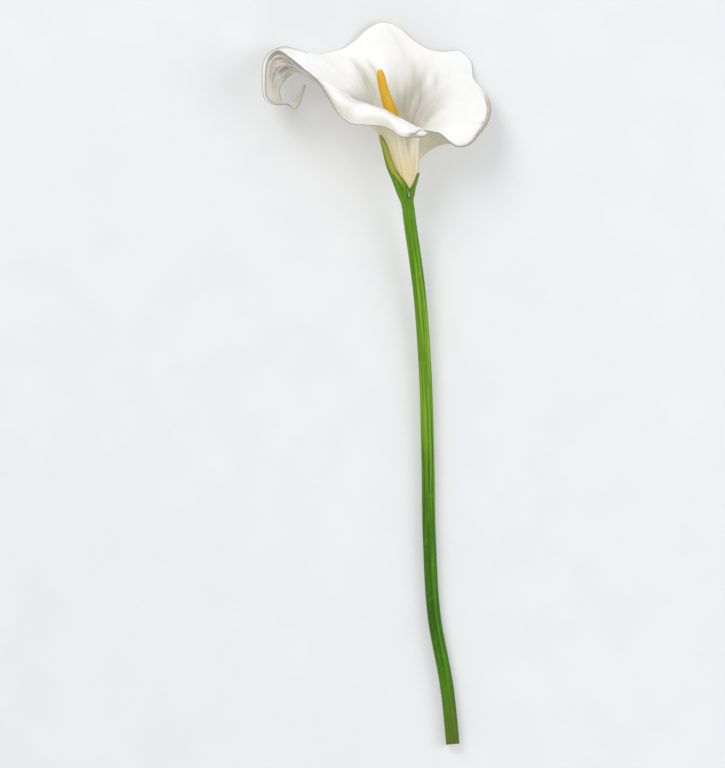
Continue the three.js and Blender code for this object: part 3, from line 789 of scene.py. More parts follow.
# %% Rolled rims and the scroll
ROLLED_EDGES = [(256, 9, 0.42), (-50, 14, 0.4), (74, 13, 0.25)]  # angle, half width, extra thickness
ROLL_FROM = 1.96
FULL_ROLL = 0.3  # where the rim is this much thicker, it has turned its back to the front
TURNED_LOBE, TURNED_WIDTH = 255, 9.5
TURNED_PLACE = (1.945, 1.957)
SCROLL_ANGLE, SCROLL_WIDTH = -58, 16
SCROLL_HEIGHT = 0.7
SCROLL_END = 2.001  # just past the rim
SCROLL_LINE = [  # the arch of the scroll's outline: the angle, and how far along the rib
    (-65, 1.97), (-62.5, 1.88), (-60, 1.77), (-55, 1.71), (-49.5, 1.8), (-45.5, 1.88), (-39, 1.94),
    (-33, 1.98), (-20, 2.0),
]
# the painted line of shade along the outline: its width, and the angles over which it stops
SCROLL_LINE_WIDTH = 0.045
SCROLL_LINE_STOPS = (-40, -30)

on_limb = along <= 2
rolled = sum(extra * hump(round_angle, middle, width) for middle, width, extra in ROLLED_EDGES)
rolled = rolled * np.sqrt(np.clip((along - ROLL_FROM) / (2 - ROLL_FROM), 0, 1)) * on_limb
turned_lobe = np.exp(-np.abs((round_angle - TURNED_LOBE) / TURNED_WIDTH) ** 4)
turned_edge = turned_lobe * rise(along, *TURNED_PLACE) * on_limb
scroll_start = radius_at(SCROLL_LINE, np.clip(round_angle, SCROLL_LINE[0][0], SCROLL_LINE[-1][0]))
scroll_run = np.clip((along - scroll_start) / (SCROLL_END - scroll_start), 0, 1)
scroll_rise = 2 * SCROLL_HEIGHT * np.sqrt(np.clip(scroll_run * (1 - scroll_run), 0, 1))
scroll_rise = scroll_rise * hump(round_angle, SCROLL_ANGLE, SCROLL_WIDTH) * on_limb
# a thin line of painted shade along the scroll's outline
scroll_shade_line = hump(along, scroll_start, SCROLL_LINE_WIDTH) * (1 - rise(round_angle, *SCROLL_LINE_STOPS))
print(f"thickest rim: {RIM_THICKNESS + 2 * rolled.max():.2f} mm")

# %% [markdown]
# The tail is pale with dark veins, and on its crest, where it turns over, painted shade darkens them
# most. Its tip is painted a little darker, as shade. Now every number that the finish needs is there, and
# they are gathered under their names.

# %% All marks of the sheet
THROAT_INSIDE = (0.75, 1.25)
TAIL_ANGLE, TAIL_WIDTH, TAIL_STARTS = 105, 16, (1.75, 2.05)
# the crest's veins get painted shade between these places
CREST_RISE, CREST_FADE = (1.95, 2.07), (2.25, 2.7)
BEYOND_KEEL, KEEL_LOSS = (95, 100), 0.7  # the painted shade on the crest's veins is fainter on the tail's far side
TIP_SHADE = (2.86, 2.98)
ARCH_ANGLE, ARCH_WIDTH, ARCH_STARTS = 268, 14, (0.8, 1.1)

near_keel = 1 - KEEL_LOSS * rise(round_angle, *BEYOND_KEEL)
thickness = between(SHEET_THICKNESS, RIM_THICKNESS, smooth(along - 1))
sheet_marks = {
    "across": across,
    "along": along,
    # painted shade out of the throat, along the lip's fold and along the creases
    "shade": throat_shade + fold_shade + crease_shades,
    # painted shade along the rim, and near the lip's right end the beige of the rolled-over back
    "rim_shade": rim_shade,
    # painted shade streaks down the funnel's outside
    "grey": streak_shades,
    "tan": tan_streaks,
    # painted highlight down the funnel's right edge
    "light": highlight_streaks,
    "throat": 1 - rise(along, *THROAT_INSIDE),
    "turned": np.clip(np.maximum(rolled / FULL_ROLL, turned_edge), 0, 1),
    # painted shade along the scroll's outline
    "scroll": scroll_shade_line * on_limb,
    # painted shade on the veins of the tail's crest, where it turns over
    "crest": rise(along, *CREST_RISE) * (1 - rise(along, *CREST_FADE)) * near_keel,
    "tail": rise(along, *TAIL_STARTS) * hump(round_angle, TAIL_ANGLE, TAIL_WIDTH),
    # painted shade on the tail's tip
    "tip": rise(along, *TIP_SHADE),
    "arch": rise(along, *ARCH_STARTS) * hump(round_angle, ARCH_ANGLE, ARCH_WIDTH),
}
print("marks on the sheet:", ", ".join(sheet_marks))

# %% [markdown]
# ## The spathe's finish
#
# A spathe is waxy and slightly see-through: light enters it, spreads under the surface and comes
# out softer. That is subsurface scattering, with a small radius because the sheet is thin. Its colour
# is mixed from the places above: white inside with streaks of painted warm grey shade, cream outside on
# the funnel, and grey-beige with drawn-out veins on the backs of the flared limb and the tail, where
# painted shade darkens the veins on the crest.

# %% Lines along the spathe
spathe_white, tree = new_finish("spathe_white")
sheet_across, sheet_along = mark_of(tree, "across"), mark_of(tree, "along")


def drawn_out(tree, count, stretch, detail=3.0):
    """Noise drawn out along the ribs: how fine it is round the sheet, and how fine along it."""
    where = {"X": times(tree, sheet_across, count), "Y": times(tree, sheet_along, stretch)}
    return noise(tree, add_node(tree, "ShaderNodeCombineXYZ", where).outputs[0], detail=detail)


fine_lines = drawn_out(tree, 260, 1.8)
wide_lines = drawn_out(tree, 44, 1.6, 1.0)
tail_lines = drawn_out(tree, 420, 5.0)
blotches = grain(tree, 9)
wide_strength = stepped(tree, wide_lines, 0.3, 0.7, 0.91, 1.08)
line_strength = times(tree, wide_strength, stepped(tree, fine_lines, 0.25, 0.75, 0.96, 1.03))
print("lines drawn along the sheet")

# %% [markdown]
# Inside, the ground is white and the coats are the painted shades. Outside, it is cream on the funnel,
# with streaks of painted shade and one painted highlight, beige on the limb's back, and pale with
# grey-violet veins on the tail, darkened by painted shade on its crest and its tip. The rim gets a thin
# grey line.

# %% The spathe's tones
inner_painted_shade = times(tree, mark_of(tree, "shade"), line_strength)
faint_grey = times(tree, stepped(tree, fine_lines, 0.45, 0.75), 0.02)
inner_tone = glazed(
    tree, two_tones(tree, blotches, 0.35, 0.7, (254, 254, 253), (252, 251, 248)),
    # painted shade from the throat, the fold and the creases, with faint grey veins
    (sums(tree, "ADD", inner_painted_shade, faint_grey), (183, 180, 163)),
    # painted shade along the rim, with the beige of the rolled back near the lip's right end
    (mark_of(tree, "rim_shade"), (188, 178, 158)),
    # a line of painted shade along the scroll's outline
    (mark_of(tree, "scroll"), (168, 162, 138)),
    (mark_of(tree, "throat", 0.7), (176, 172, 128)),
)
outer_lines = stepped(tree, fine_lines, 0.45, 0.7)
cream_low = two_tones(tree, wide_lines, 0.35, 0.65, (238, 220, 165), (229, 211, 163))
cream_high = two_tones(tree, wide_lines, 0.35, 0.65, (242, 231, 196), (233, 223, 191))
cream = glazed(
    tree, mixed(tree, stepped(tree, sheet_along, 0.4, 0.85), cream_low, cream_high),
    (times(tree, mark_of(tree, "tan"), line_strength), (205, 190, 138)),
    # painted shade streaks down the funnel
    (times(tree, mark_of(tree, "grey"), line_strength), (192, 187, 165)),
    # a painted highlight down the funnel's right edge
    (mark_of(tree, "light"), (240, 235, 218)),
    (times(tree, outer_lines, 0.1), (190, 176, 136)),
)
beige = glazed(
    tree, two_tones(tree, wide_lines, 0.35, 0.65, (206, 199, 177), (196, 190, 166)),
    (times(tree, outer_lines, 0.4), (170, 164, 142)),
)
veins_and_crest_shade = stepped(tree, tail_lines, 0.44, 0.56, 0.1, 1.0)
tail_tone = glazed(
    tree, two_tones(tree, wide_lines, 0.35, 0.65, (240, 238, 230), (218, 218, 204)),
    # veins, darkened by painted shade on the crest
    (times(tree, veins_and_crest_shade, sums(tree, "MULTIPLY_ADD", mark_of(tree, "crest"), 0.82, 0.14)), (120, 93, 111)),
    # painted shade on the tip
    (mark_of(tree, "tip", 0.5), (160, 158, 138)),
)
far_up = sums(tree, "MAXIMUM", stepped(tree, sheet_along, 1.2, 1.6), mark_of(tree, "arch"))
outer_tone = mixed(tree, mark_of(tree, "tail"), mixed(tree, far_up, cream, beige), tail_tone)
inside_tail = times(tree, stepped(tree, sheet_along, 2.05, 2.3), 0.4)
inner_tone = mixed(tree, inside_tail, inner_tone, tail_tone)
shows_outside = sums(tree, "MAXIMUM", mark_of(tree, "outer_face"), mark_of(tree, "turned"))
sheet_tone = mixed(tree, shows_outside, inner_tone, outer_tone)
finish_off(
    spathe_white,
    {**wax(0.25, (1.0, 0.9, 0.7), 1.2), "Sheen Weight": 0.15, "Sheen Roughness": 0.5},
    base_color=glazed(tree, sheet_tone, (mark_of(tree, "edge", 0.8), (140, 137, 130))),
    roughness=stepped(tree, blotches, 0.3, 0.7, 0.4, 0.52),
    normal=raised(tree, fine_lines, 0.05, raised(tree, grain(tree, 0.35, 2.0), 0.02)),
)

# %% Make the spathe
half = thickness / 2 + rolled
inner_side_height = half + relief + scroll_rise
sheet = solid_sheet(points, quads, inner_side_height, half - relief, sheet_marks)
spathe = make_mesh("spathe", *sheet, spathe_white)
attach(spathe, "root")
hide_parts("spathe")

# %% [markdown]
# ## The stem and its collar
#
# The stalk is round, a little ribbed, and widens at its head into a green collar that clasps the
# funnel. In front the collar dips to a V, and on the left it climbs as a long tongue. Stem and collar
# grew as one, so they are one surface: rings from the cut end to the collar's edge, over it, and
# down inside. A bevelled curve could make the stalk, but not the tongue.

# %% The stem's line
STEM = [
    (27, -331.5, -15.3), (23.5, -297.5, -15.2), (15.5, -252.5, -15.2), (12.5, -205, -15),
    (11.5, -153, -14.4), (9.5, -94, -12.4), (5.5, -45.5, -8.4), (2.8, -26, -5.6), (1.1, -15, -3.3),
    (-0.85, 0, 0),
]
STEM_CUT_RADIUS = 4.2
STEM_NECK_RADIUS = 3.9
CUT_SLANT = 0.12
COURSE_STEP = 0.1  # the short way either side from which a line's course is read


def line_through(path):
    """A smooth line through points: its length, and its place and course at distances along it."""
    path = np.array(path, float)
    knots = np.concatenate([[0], np.cumsum(np.linalg.norm(np.diff(path, axis=0), axis=1))])

    def at(distance):
        return spline(knots, path, distance)

    def course_at(distance):
        distance = np.asarray(distance)
        return unit(at(distance + COURSE_STEP) - at(distance - COURSE_STEP))

    return knots[-1], at, course_at


stem_length, stem_at, stem_course = line_through(STEM)
print(f"stem: {stem_length:.0f} mm")

# %% [markdown]
# The collar's edge is drawn as heights round the funnel. Its columns are spaced evenly along that edge
# and not by angle, because the tongue's front edge climbs almost straight up.

# %% The collar
COLLAR_EDGE = [
    (-80, 19.6), (-62, 20.8), (-53, 18.6), (-45, 15.6), (-34, 13), (-24, 12.1), (-12, 13.9), (0, 16.4),
    (14, 19.2), (32, 23.5), (41, 26), (45.5, 30), (48.5, 34), (51, 39), (52.5, 43.5), (54, 47), (56.5, 48),
    (62, 46.8), (70, 44.8), (78, 42.6), (88, 39.6), (98, 35.6), (112, 29), (140, 21.5), (185, 17.6),
    (240, 17), (280, 19.6),
]
# How far the tongue stands off the funnel in a belly, at distances up the axis
TONGUE_BELLY = [
    (0, 0), (6, 0.1), (13.5, 0.45), (20, 1.05), (26, 1.5), (32, 1.15), (39, 0.5), (45, 0.1), (49, 0),
    (60, 0),
]
BELLY_ANGLE = 95
BELLY_HALF_WIDTH = 34
COLLAR_THICKNESS = 0.8
COLLAR_EDGE_THICKNESS = 0.6
COLLAR_BLEND = 8  # the stalk widens into the collar over this height
COLLAR_LEAD = 0.9  # the collar follows the funnel's radius a little further up
COLLAR_LAP = 0.1  # the last share of its turn, where it steps out over the left margin
GAP = 0.3
STEM_COLUMNS = 216


def collar_columns(count, fine=2880):
    """Angles and heights at even steps along the collar's edge, from the tongue's tip round."""
    angles = COLLAR_EDGE[0][0] + 360 * np.arange(fine + 1) / fine
    heights = radius_at(COLLAR_EDGE, angles)
    around = np.radians(np.diff(angles)) * radius_at(FUNNEL, heights[1:])
    length = np.concatenate([[0], np.cumsum(np.hypot(around, np.diff(heights)))])
    tip = np.argmax(heights)
    steps = (length[tip] + length[-1] * np.arange(count) / count) % length[-1]
    found = np.interp(steps, length, angles)
    return found, np.interp(steps, length, heights), angles[tip]


collar_angle, collar_height, tip_angle = collar_columns(STEM_COLUMNS)


def collar_inside(angle, distance):
    around = (angle - COLLAR_EDGE[0][0]) / 360
    over_margin = 2 * WRAP * rise(around, 1 - COLLAR_LAP, 1)
    sheet_radius = radius_at(FUNNEL, distance + COLLAR_LEAD) + WRAP * (1 - 2 * around) + over_margin
    belly = radius_at(TONGUE_BELLY, distance) * hump(angle, BELLY_ANGLE, BELLY_HALF_WIDTH)
    return sheet_radius + SHEET_THICKNESS / 2 + GAP + belly


def collar_outside(angle, distance, edge):
    wall = between(COLLAR_THICKNESS, COLLAR_EDGE_THICKNESS, distance / edge)
    return between(STEM_NECK_RADIUS, collar_inside(angle, distance) + wall, smooth(distance / COLLAR_BLEND))


print("collar from", collar_height.min().round(1), "to", collar_height.max().round(1), "mm")

# %% [markdown]
# Along the stalk run low ribs, the strands that carry its water. They only cut inwards, so that the
# stalk keeps its size and still lies on the surface. On the collar they fade, and a small drop-shaped
# dimple sits under the V, where the two sides of the collar meet.

# %% Ribs and the drop
STEM_RINGS = 170
COLLAR_RINGS = 44
EDGE_RINGS = 4
INSIDE_RINGS = 22
RIB_WAVES = [(17, 0.0, 0.5), (26, 1.7, 0.3), (41, 4.1, 0.2)]  # ribs round the stalk, start, share
RIB_DEPTH = 0.13
RIB_SWAY, SWAY_LENGTH = 0.5, 37
RIBS_ON_COLLAR, RIBS_FADE = 0.25, (0, 12)  # how much of the ribs' depth is left up the collar
STALK_END = 0.985  # the stalk's last ring, as a share of its length
COLUMNS_TURN = (0.8, 0.98)  # the even columns of the cut shift to the collar's over this stretch
COURSE_TURNS = (0.9, 1)  # and the stalk's course turns into the funnel's axis
SLANT_SHARE = 16  # the cut's slant is gone after one part in this many
RIBS_CALM, DROP_CALM = 12, 8  # ribs and drop die away over one part in this many below the edge
DROP_ANGLE, DROP_HEIGHT = -20, 8.4
DROP_RADIUS = 4.2  # of the collar there
DROP_HALF_WIDTH, DROP_POINT = 0.48, 0.12
DROP_TOP, DROP_FOOT = 3.2, -1.6
DROP_DEPTH = 0.45
LIP_HEIGHT = 0.16
LIP_AWAY, LIP_SPREAD, LIP_FOOT = 1.9, 0.3, -2.6  # in half widths of the drop, and its lowest place


def strand_relief(angle, distance):
    """How far the strands stand below the stalk's outline, from 0 down to minus the rib depth."""
    sway = RIB_SWAY * np.sin(distance / SWAY_LENGTH)
    wave = sum(share * np.sin(np.radians(angle) * count + start + sway) for count, start, share in RIB_WAVES)
    return -RIB_DEPTH * (1 + wave) / 2


def drop_shape(angle, distance):
    """The drop under the notch: 1 in its dent, and 1 on the lip round it."""
    sideways = np.radians(angle - DROP_ANGLE) * DROP_RADIUS
    up = distance - DROP_HEIGHT
    width = np.where(up > 0, DROP_HALF_WIDTH * (1 - up / DROP_TOP), DROP_HALF_WIDTH)
    reach = np.hypot(sideways / np.maximum(width, DROP_POINT), np.where(up > 0, 0, up))
    dent = np.where((up > DROP_FOOT) & (up < DROP_TOP), hump(reach, 0, 1), 0)
    lip = np.where((up > LIP_FOOT) & (up < DROP_TOP), np.exp(-((reach - LIP_AWAY) ** 2) / LIP_SPREAD), 0)
    return dent, lip


print("ribs round the stalk:", [count for count, _, _ in RIB_WAVES])

# %% [markdown]
# Now the rings are wound one after another: up the stalk, up the collar's outside, over its edge, and
# down its inside. The stalk's columns begin evenly spaced and turn into the collar's on the way up.

# %% Wind the rings
rings, ring_along, ring_inner, ring_angles = [], [], [], []
unrolled = tip_angle + (collar_angle - tip_angle) % 360
even = tip_angle + 360 * np.arange(STEM_COLUMNS) / STEM_COLUMNS


def add_ring(ring, distance, inner, angles):
    """One more ring: its points, how far along the stem it lies, and how far inside the collar."""
    rings.append(ring)
    ring_along.append(np.broadcast_to(distance, STEM_COLUMNS))
    ring_inner.append(np.full(STEM_COLUMNS, inner))
    ring_angles.append(angles)


for t in np.linspace(0, STALK_END, STEM_RINGS):
    distance = t * stem_length
    column_angle = between(even, unrolled, rise(t, *COLUMNS_TURN))
    course = unit(between(stem_course(distance)[0], axis, rise(t, *COURSE_TURNS)))
    out = outward(column_angle, *square_to(course))
    radius = between(STEM_CUT_RADIUS, STEM_NECK_RADIUS, t) + strand_relief(column_angle, distance)
    slant = CUT_SLANT * radius * out[:, 2] * max(0, 1 - t * SLANT_SHARE)
    ring = stem_at(distance)[0] + out * radius[:, None] + course * slant[:, None]
    add_ring(ring, distance, 0, column_angle)
for k in np.linspace(0, 1, COLLAR_RINGS):
    distance = collar_height * k
    fade = 1 - (1 - RIBS_ON_COLLAR) * rise(distance, *RIBS_FADE)
    ribs_here = strand_relief(unrolled, stem_length + distance) * fade * min(1, RIBS_CALM * (1 - k))
    dent, lip = drop_shape(collar_angle, distance)
    drop_here = (LIP_HEIGHT * lip - DROP_DEPTH * dent) * min(1, DROP_CALM * (1 - k))
    radius = collar_outside(collar_angle, distance, collar_height) + ribs_here + drop_here
    add_ring(funnel_point(collar_angle, distance, radius), stem_length + distance, 0, unrolled)
outer_edge = collar_outside(collar_angle, collar_height, collar_height)
inner_edge = collar_inside(collar_angle, collar_height)
for k in np.arange(1, EDGE_RINGS + 1) / (EDGE_RINGS + 1):
    radius = between(outer_edge, inner_edge, (1 - np.cos(np.pi * k)) / 2)
    distance = collar_height + (outer_edge - inner_edge) / 2 * np.sin(np.pi * k)
    add_ring(funnel_point(collar_angle, distance, radius), stem_length + distance, k, unrolled)
collar_floor = SHEET_FOOT - SHEET_THICKNESS / 2 - GAP
for k in np.linspace(1, 0, INSIDE_RINGS):
    distance = between(collar_floor, collar_height, k)
    ring = funnel_point(collar_angle, distance, collar_inside(collar_angle, distance))
    add_ring(ring, stem_length + distance, 1, unrolled)
print("stem rings:", len(rings))

# %% [markdown]
# A cut arum stalk is spongy: pale, with a green skin and dozens of fine air canals. The cut end is a
# disc of rings that shrink to its middle, and the canals are real pits in it, at seeded places.

# %% The cut end
CUT_RINGS = 30
EVEN_SHARE = 0.7  # the rings are spaced evenly by this share, and closer at the rim and the middle
CANAL_DEPTH = 0.7
CANAL_SPACING = 0.78
CANAL_ROWS = 5  # each way from the middle
CANAL_RADIUS, CANAL_WALL = 0.12, 0.14
PITS_START = 3  # over the first rings the pits grow deeper
CANALS_KEEP_OFF = 0.75  # the width of the solid skin
ROW_RATIO = 0.866  # rows of a close packing lie this much of their spacing apart
JITTER = 0.16

draw = np.random.default_rng(7)
cut_rim = rings[0]
cut_middle = cut_rim.mean(axis=0)
cut_course = stem_course(0)[0]
rows = np.arange(-CANAL_ROWS, CANAL_ROWS + 1)
lattice = np.array([(a + b / 2, b * ROW_RATIO) for a in rows for b in rows]) * CANAL_SPACING
lattice = lattice + draw.normal(0, JITTER * CANAL_SPACING, lattice.shape)
lattice = lattice[np.hypot(*lattice.T) < STEM_CUT_RADIUS - CANALS_KEEP_OFF]


def finder(places):
    """A tree that finds the nearest of many places."""
    tree = KDTree(len(places))
    for i, place in enumerate(places):
        tree.insert(place, i)
    tree.balance()
    return tree


canals = finder([(*place, 0) for place in lattice])
cut_up, cut_right = square_to(cut_course)
cut_rings, cut_pit = [], []
for k in range(1, CUT_RINGS):
    inwards = between(smooth(k / CUT_RINGS), k / CUT_RINGS, EVEN_SHARE)
    ring = between(cut_rim, cut_middle, inwards)
    flat = np.stack([(ring - cut_middle) @ cut_right, (ring - cut_middle) @ cut_up], axis=1)
    away = np.array([canals.find((*place, 0))[2] for place in flat])
    pit = 1 - smooth((away - CANAL_RADIUS) / CANAL_WALL)
    cut_rings.append(ring + cut_course * (CANAL_DEPTH * pit * smooth(k / PITS_START))[:, None])
    cut_pit.append(pit)
print("air canals:", len(lattice))

# %% [markdown]
# ## The stem's finish
#
# The stalk is fresh green above and deeper green towards its foot, partly as painted shade, with long
# darker and lighter streaks. The collar is yellow along the tongue's edge. Just under its edge runs a
# dark line of painted shade, strongest round its notch, and the drop under the notch has a painted
# highlight in a ring of painted shade. The same numbers that placed the rings place these tints. The
# streaks are noise read on a circle, so that they close round the stalk, and stretched about a hundred
# times along it.

# %% Strands along the stem
stem_green, tree = new_finish("stem_green")
place_along, place_round = mark_of(tree, "along"), mark_of(tree, "round")


def strands(tree, fineness, stretch, detail=2.0):
    """Noise drawn out along the stalk, read on a circle so that it closes round it."""
    where = {
        "X": times(tree, sums(tree, "COSINE", place_round), fineness),
        "Y": times(tree, sums(tree, "SINE", place_round), fineness),
        "Z": times(tree, place_along, stretch),
    }
    return noise(tree, add_node(tree, "ShaderNodeCombineXYZ", where).outputs[0], detail=detail)


long_strands = strands(tree, 3.0, 0.016)
thin_strands = strands(tree, 7.0, 0.02, 3.0)
fibres = strands(tree, 28.0, 0.05, 4.0)
mottle = grain(tree, 5)
print("strands drawn along the stem")

# %% [markdown]
# The ground is deep green below and fresh green above. The coats follow from the foot up: darker
# strands, lighter mottling, a dull foot, then all that belongs to the collar. The cut has its own tone.

# %% The stem's tones
fresh = two_tones(tree, long_strands, 0.36, 0.62, (88, 139, 16), (136, 178, 42))
# deep: the lower stalk's deeper green, partly painted shade
deep = two_tones(tree, long_strands, 0.36, 0.62, (48, 92, 2), (78, 136, 6))
pith = two_tones(tree, mottle, 0.35, 0.65, (214, 222, 170), (190, 204, 140))
# the canal pits are painted darker, as shade in the holes
pith = glazed(tree, pith, (mark_of(tree, "canal"), (92, 104, 52)))
green = glazed(
    tree, mixed(tree, stepped(tree, place_along, 110, 230), deep, fresh),
    (stepped(tree, place_along, 268, 316, 0.0, 0.4), (72, 134, 14)),
    (stepped(tree, thin_strands, 0.54, 0.64, 0.0, 0.9), (45, 85, 11)),
    (stepped(tree, fibres, 0.5, 0.72, 0.0, 0.35), (64, 110, 16)),
    (stepped(tree, mottle, 0.55, 0.8, 0.0, 0.25), (146, 182, 60)),
    (stepped(tree, place_along, 4, 50, 0.4, 0.0), (112, 112, 44)),
    (times(tree, mark_of(tree, "ripe"), stepped(tree, fibres, 0.3, 0.7, 0.95, 0.7)), (184, 182, 66)),
    (mark_of(tree, "seam", 0.6), (66, 96, 22)),
    # painted shade: a dark line just under the collar's edge
    (mark_of(tree, "lip", 0.85), (72, 88, 24)),
    # a ring of painted shade round the drop, and a painted highlight in its dent
    (mark_of(tree, "drop_rim_shade"), (56, 80, 28)),
    (mark_of(tree, "drop_highlight"), (168, 184, 140)),
    (mark_of(tree, "inside"), (186, 198, 110)),
)
finish_off(
    stem_green,
    {**wax(0.08, (0.6, 1.0, 0.3), 1.0), "Specular IOR Level": 0.2},
    base_color=mixed(tree, mark_of(tree, "cut"), green, pith),
    roughness=stepped(tree, long_strands, 0.3, 0.7, 0.48, 0.6),
    normal=raised(tree, fibres, 0.06, raised(tree, grain(tree, 0.5, 2.0), 0.02)),
)

# %% [markdown]
# Between each two rings lies a belt of squares. Both ends are closed: the cut by its own shrinking
# rings, and the hidden floor of the collar by a fan of triangles.


# %% Faces of the stem
def tube_faces(ring_count, sides):
    rows = np.arange(ring_count * sides).reshape(ring_count, sides)
    after = np.roll(rows, -1, axis=1)
    return np.stack([rows[:-1], rows[1:], after[1:], after[:-1]], axis=-1).reshape(-1, 4)


def fan(ring, centre, turned):
    after = np.roll(ring, -1)
    order = (ring, after) if turned else (after, ring)
    return [(centre, int(a), int(b)) for a, b in zip(*order)]


body_points = np.vstack(rings)
body_count = len(body_points)
cut_points = np.vstack(cut_rings)
collar_middle = rings[-1].mean(axis=0)
stem_points = np.vstack([body_points, cut_points, [cut_middle, collar_middle]])
stem_faces = tube_faces(len(rings), STEM_COLUMNS).tolist()
first_ring = np.arange(STEM_COLUMNS)
cut_index = np.vstack([first_ring, body_count + np.arange(len(cut_points)).reshape(-1, STEM_COLUMNS)])
after_index = np.roll(cut_index, -1, axis=1)
cut_faces = np.stack([cut_index[:-1], after_index[:-1], after_index[1:], cut_index[1:]], axis=-1)
stem_faces += cut_faces.reshape(-1, 4).tolist()
stem_faces += fan(cut_index[-1], body_count + len(cut_points), True)
last_ring = body_count - STEM_COLUMNS + np.arange(STEM_COLUMNS)
stem_faces += fan(last_ring, body_count + len(cut_points) + 1, False)
print("stem faces:", len(stem_faces))

# %% [markdown]
# The tints need places too. A yellow strip with a dark seam follows the tongue's front edge, so each
# point of the collar measures how far it lies from that edge.

# %% Places on the stem
RIPE_WIDTHS = (2.1, 3.8)  # of the yellow strip, at the tongue's foot and its top
RIPE_WIDENS = (12, 36)
RIPE_SOFTNESS = 0.6
SEAM_AWAY, SEAM_WIDTH = 0.3, 0.4
FRONT_EDGE = (-30, 58)  # the angles of the tongue's front edge
LEFT_SIDE, TONGUE_RISE = (-24, 0), (16, 24)
LIP_WIDTH = 0.9
LIP_LOSS, LIP_FADE = 0.8, (24, 30)  # the dark line of painted shade along the collar's edge fades on the tongue

along_stem, inner_side = np.concatenate(ring_along), np.concatenate(ring_inner)
round_stem = np.radians(np.concatenate(ring_angles) - tip_angle)
above_neck = along_stem - stem_length
on_collar = above_neck > 0
edge_angle, edge_height = np.tile(collar_angle, len(rings)), np.tile(collar_height, len(rings))
on_tongue = rise(edge_height, *TONGUE_RISE) * on_collar * rise(edge_angle, *LEFT_SIDE)
# a line of painted shade just under the collar's edge
lip = hump(edge_height - above_neck, 0, LIP_WIDTH) * on_collar
lip = lip * (1 - LIP_LOSS * rise(edge_height, *LIP_FADE))
front_edge = (collar_angle > FRONT_EDGE[0]) & (collar_angle < FRONT_EDGE[1])
beside = np.radians(edge_angle[:, None] - collar_angle[front_edge])
beside = beside * radius_at(FUNNEL, collar_height[front_edge])
from_edge = np.hypot(beside, above_neck[:, None] - collar_height[front_edge]).min(axis=1)
ripe_width = between(*RIPE_WIDTHS, rise(above_neck, *RIPE_WIDENS))
ripe = 1 - rise(from_edge, ripe_width - RIPE_SOFTNESS, ripe_width + RIPE_SOFTNESS)
seam = hump(from_edge, ripe_width + SEAM_AWAY, SEAM_WIDTH)
# the drop's painted highlight in its dent, and the ring of painted shade round it
drop_highlight, drop_rim_shade = (shape * on_collar * (1 - inner_side) for shape in drop_shape(edge_angle, above_neck))


def stem_mark(on_rings, on_cut=0, in_middles=(0, 0)):
    """One number for each point: on the rings, on the cut, and in the middles of both ends."""
    return np.concatenate([on_rings, np.broadcast_to(on_cut, len(cut_points)), in_middles])


stem_marks = {
    "along": stem_mark(along_stem, in_middles=(0, stem_length)),
    "round": stem_mark(round_stem, np.tile(round_stem[:STEM_COLUMNS], len(cut_rings))),
    "inside": stem_mark(inner_side, in_middles=(0, 1)),
    "lip": stem_mark(lip),
    "ripe": stem_mark(ripe * on_tongue),
    "seam": stem_mark(seam * on_tongue),
    "drop_highlight": stem_mark(drop_highlight),
    "drop_rim_shade": stem_mark(drop_rim_shade),
    "cut": stem_mark(np.zeros(body_count), 1, (1, 0)),
    "canal": stem_mark(np.zeros(body_count), np.concatenate(cut_pit)),
}
print("marks on the stem:", ", ".join(stem_marks))

# %% Make the stem
flower_stem = make_mesh("flower_stem", stem_points, stem_faces, stem_marks, stem_green)
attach(flower_stem, "root")
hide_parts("flower_stem")

# %% [markdown]
# ## The spadix
#
# The finger is a stalk packed with flowers too small to have petals. Its foot carries green ovaries,
# each with a small stigma, and the rest carries yellow stamens. Loose beads would be thousands of
# objects, and a bump map alone would leave the outline smooth. Instead the finger's surface is a fine
# grid, and each point rises by how near it lies to the middle of its own little flower.

# %% The finger's measures
SPADIX = [
    (-2, 5.8, 1.7), (-2.6, 12, 3.5), (-3, 18, 5.2), (-5.5, 34, 10.5), (-11.5, 57, 17.3),
    (-15.2, 67.5, 20.5), (-18.6, 82.3, 25),
]
FEMALE_ZONE = [(0, 1), (3, 1.6), (7, 2.6), (12, 3.3), (20, 3.8)]
MALE_ZONE = [
    (20.3, 3.8), (45, 3.85), (54.5, 3.75), (59.5, 3.38), (65, 2.9), (72, 2.6), (77, 2.3), (79.6, 1.85),
    (80.9, 1.3), (81.5, 0.8),
]

_, finger_at, finger_course = line_through(SPADIX)


def finger_points(distance, angle, radius):
    """Points round the finger: arrays of distances, angles and radii of the same shape."""
    flat = np.ravel(distance)
    up, right = square_to(finger_course(flat))
    turn = np.radians(np.ravel(angle))[:, None]
    out = up * np.cos(turn) - right * np.sin(turn)
    return finger_at(flat) + out * np.ravel(radius)[:, None]


print("finger: from", FEMALE_ZONE[0][0], "to", MALE_ZONE[-1][0], "mm along its line")

# %% [markdown]
# Such flowers grow along a spiral, with the golden angle from one to the next, so that each fits
# into the gap between older ones. A little disorder keeps them from looking drilled.

# %% Little flowers packed round the finger
GOLDEN_ANGLE = 137.508
DISORDER = 0.07  # how far each flower strays, as a share of their spacing


def packed_places(profile, spacing, seed):
    """Places of little flowers on a spiral, about one spacing apart, with a little disorder."""
    draw = np.random.default_rng(seed)
    distances, angles = [], []
    distance = profile[0][0] + spacing / 2
    turn = 0.0
    while distance < profile[-1][0]:
        distances.append(distance)
        angles.append(turn)
        turn += GOLDEN_ANGLE
        distance += spacing**2 * ROW_RATIO / (2 * np.pi * float(radius_at(profile, distance)))
    stray = spacing * DISORDER
    distances = np.array(distances) + draw.normal(0, stray, len(distances))
    radii = radius_at(profile, distances)
    angles = np.array(angles) + np.degrees(draw.normal(0, stray, len(angles)) / radii)
    return finger_points(distances, angles, radii)


print("golden angle:", GOLDEN_ANGLE, "degrees")

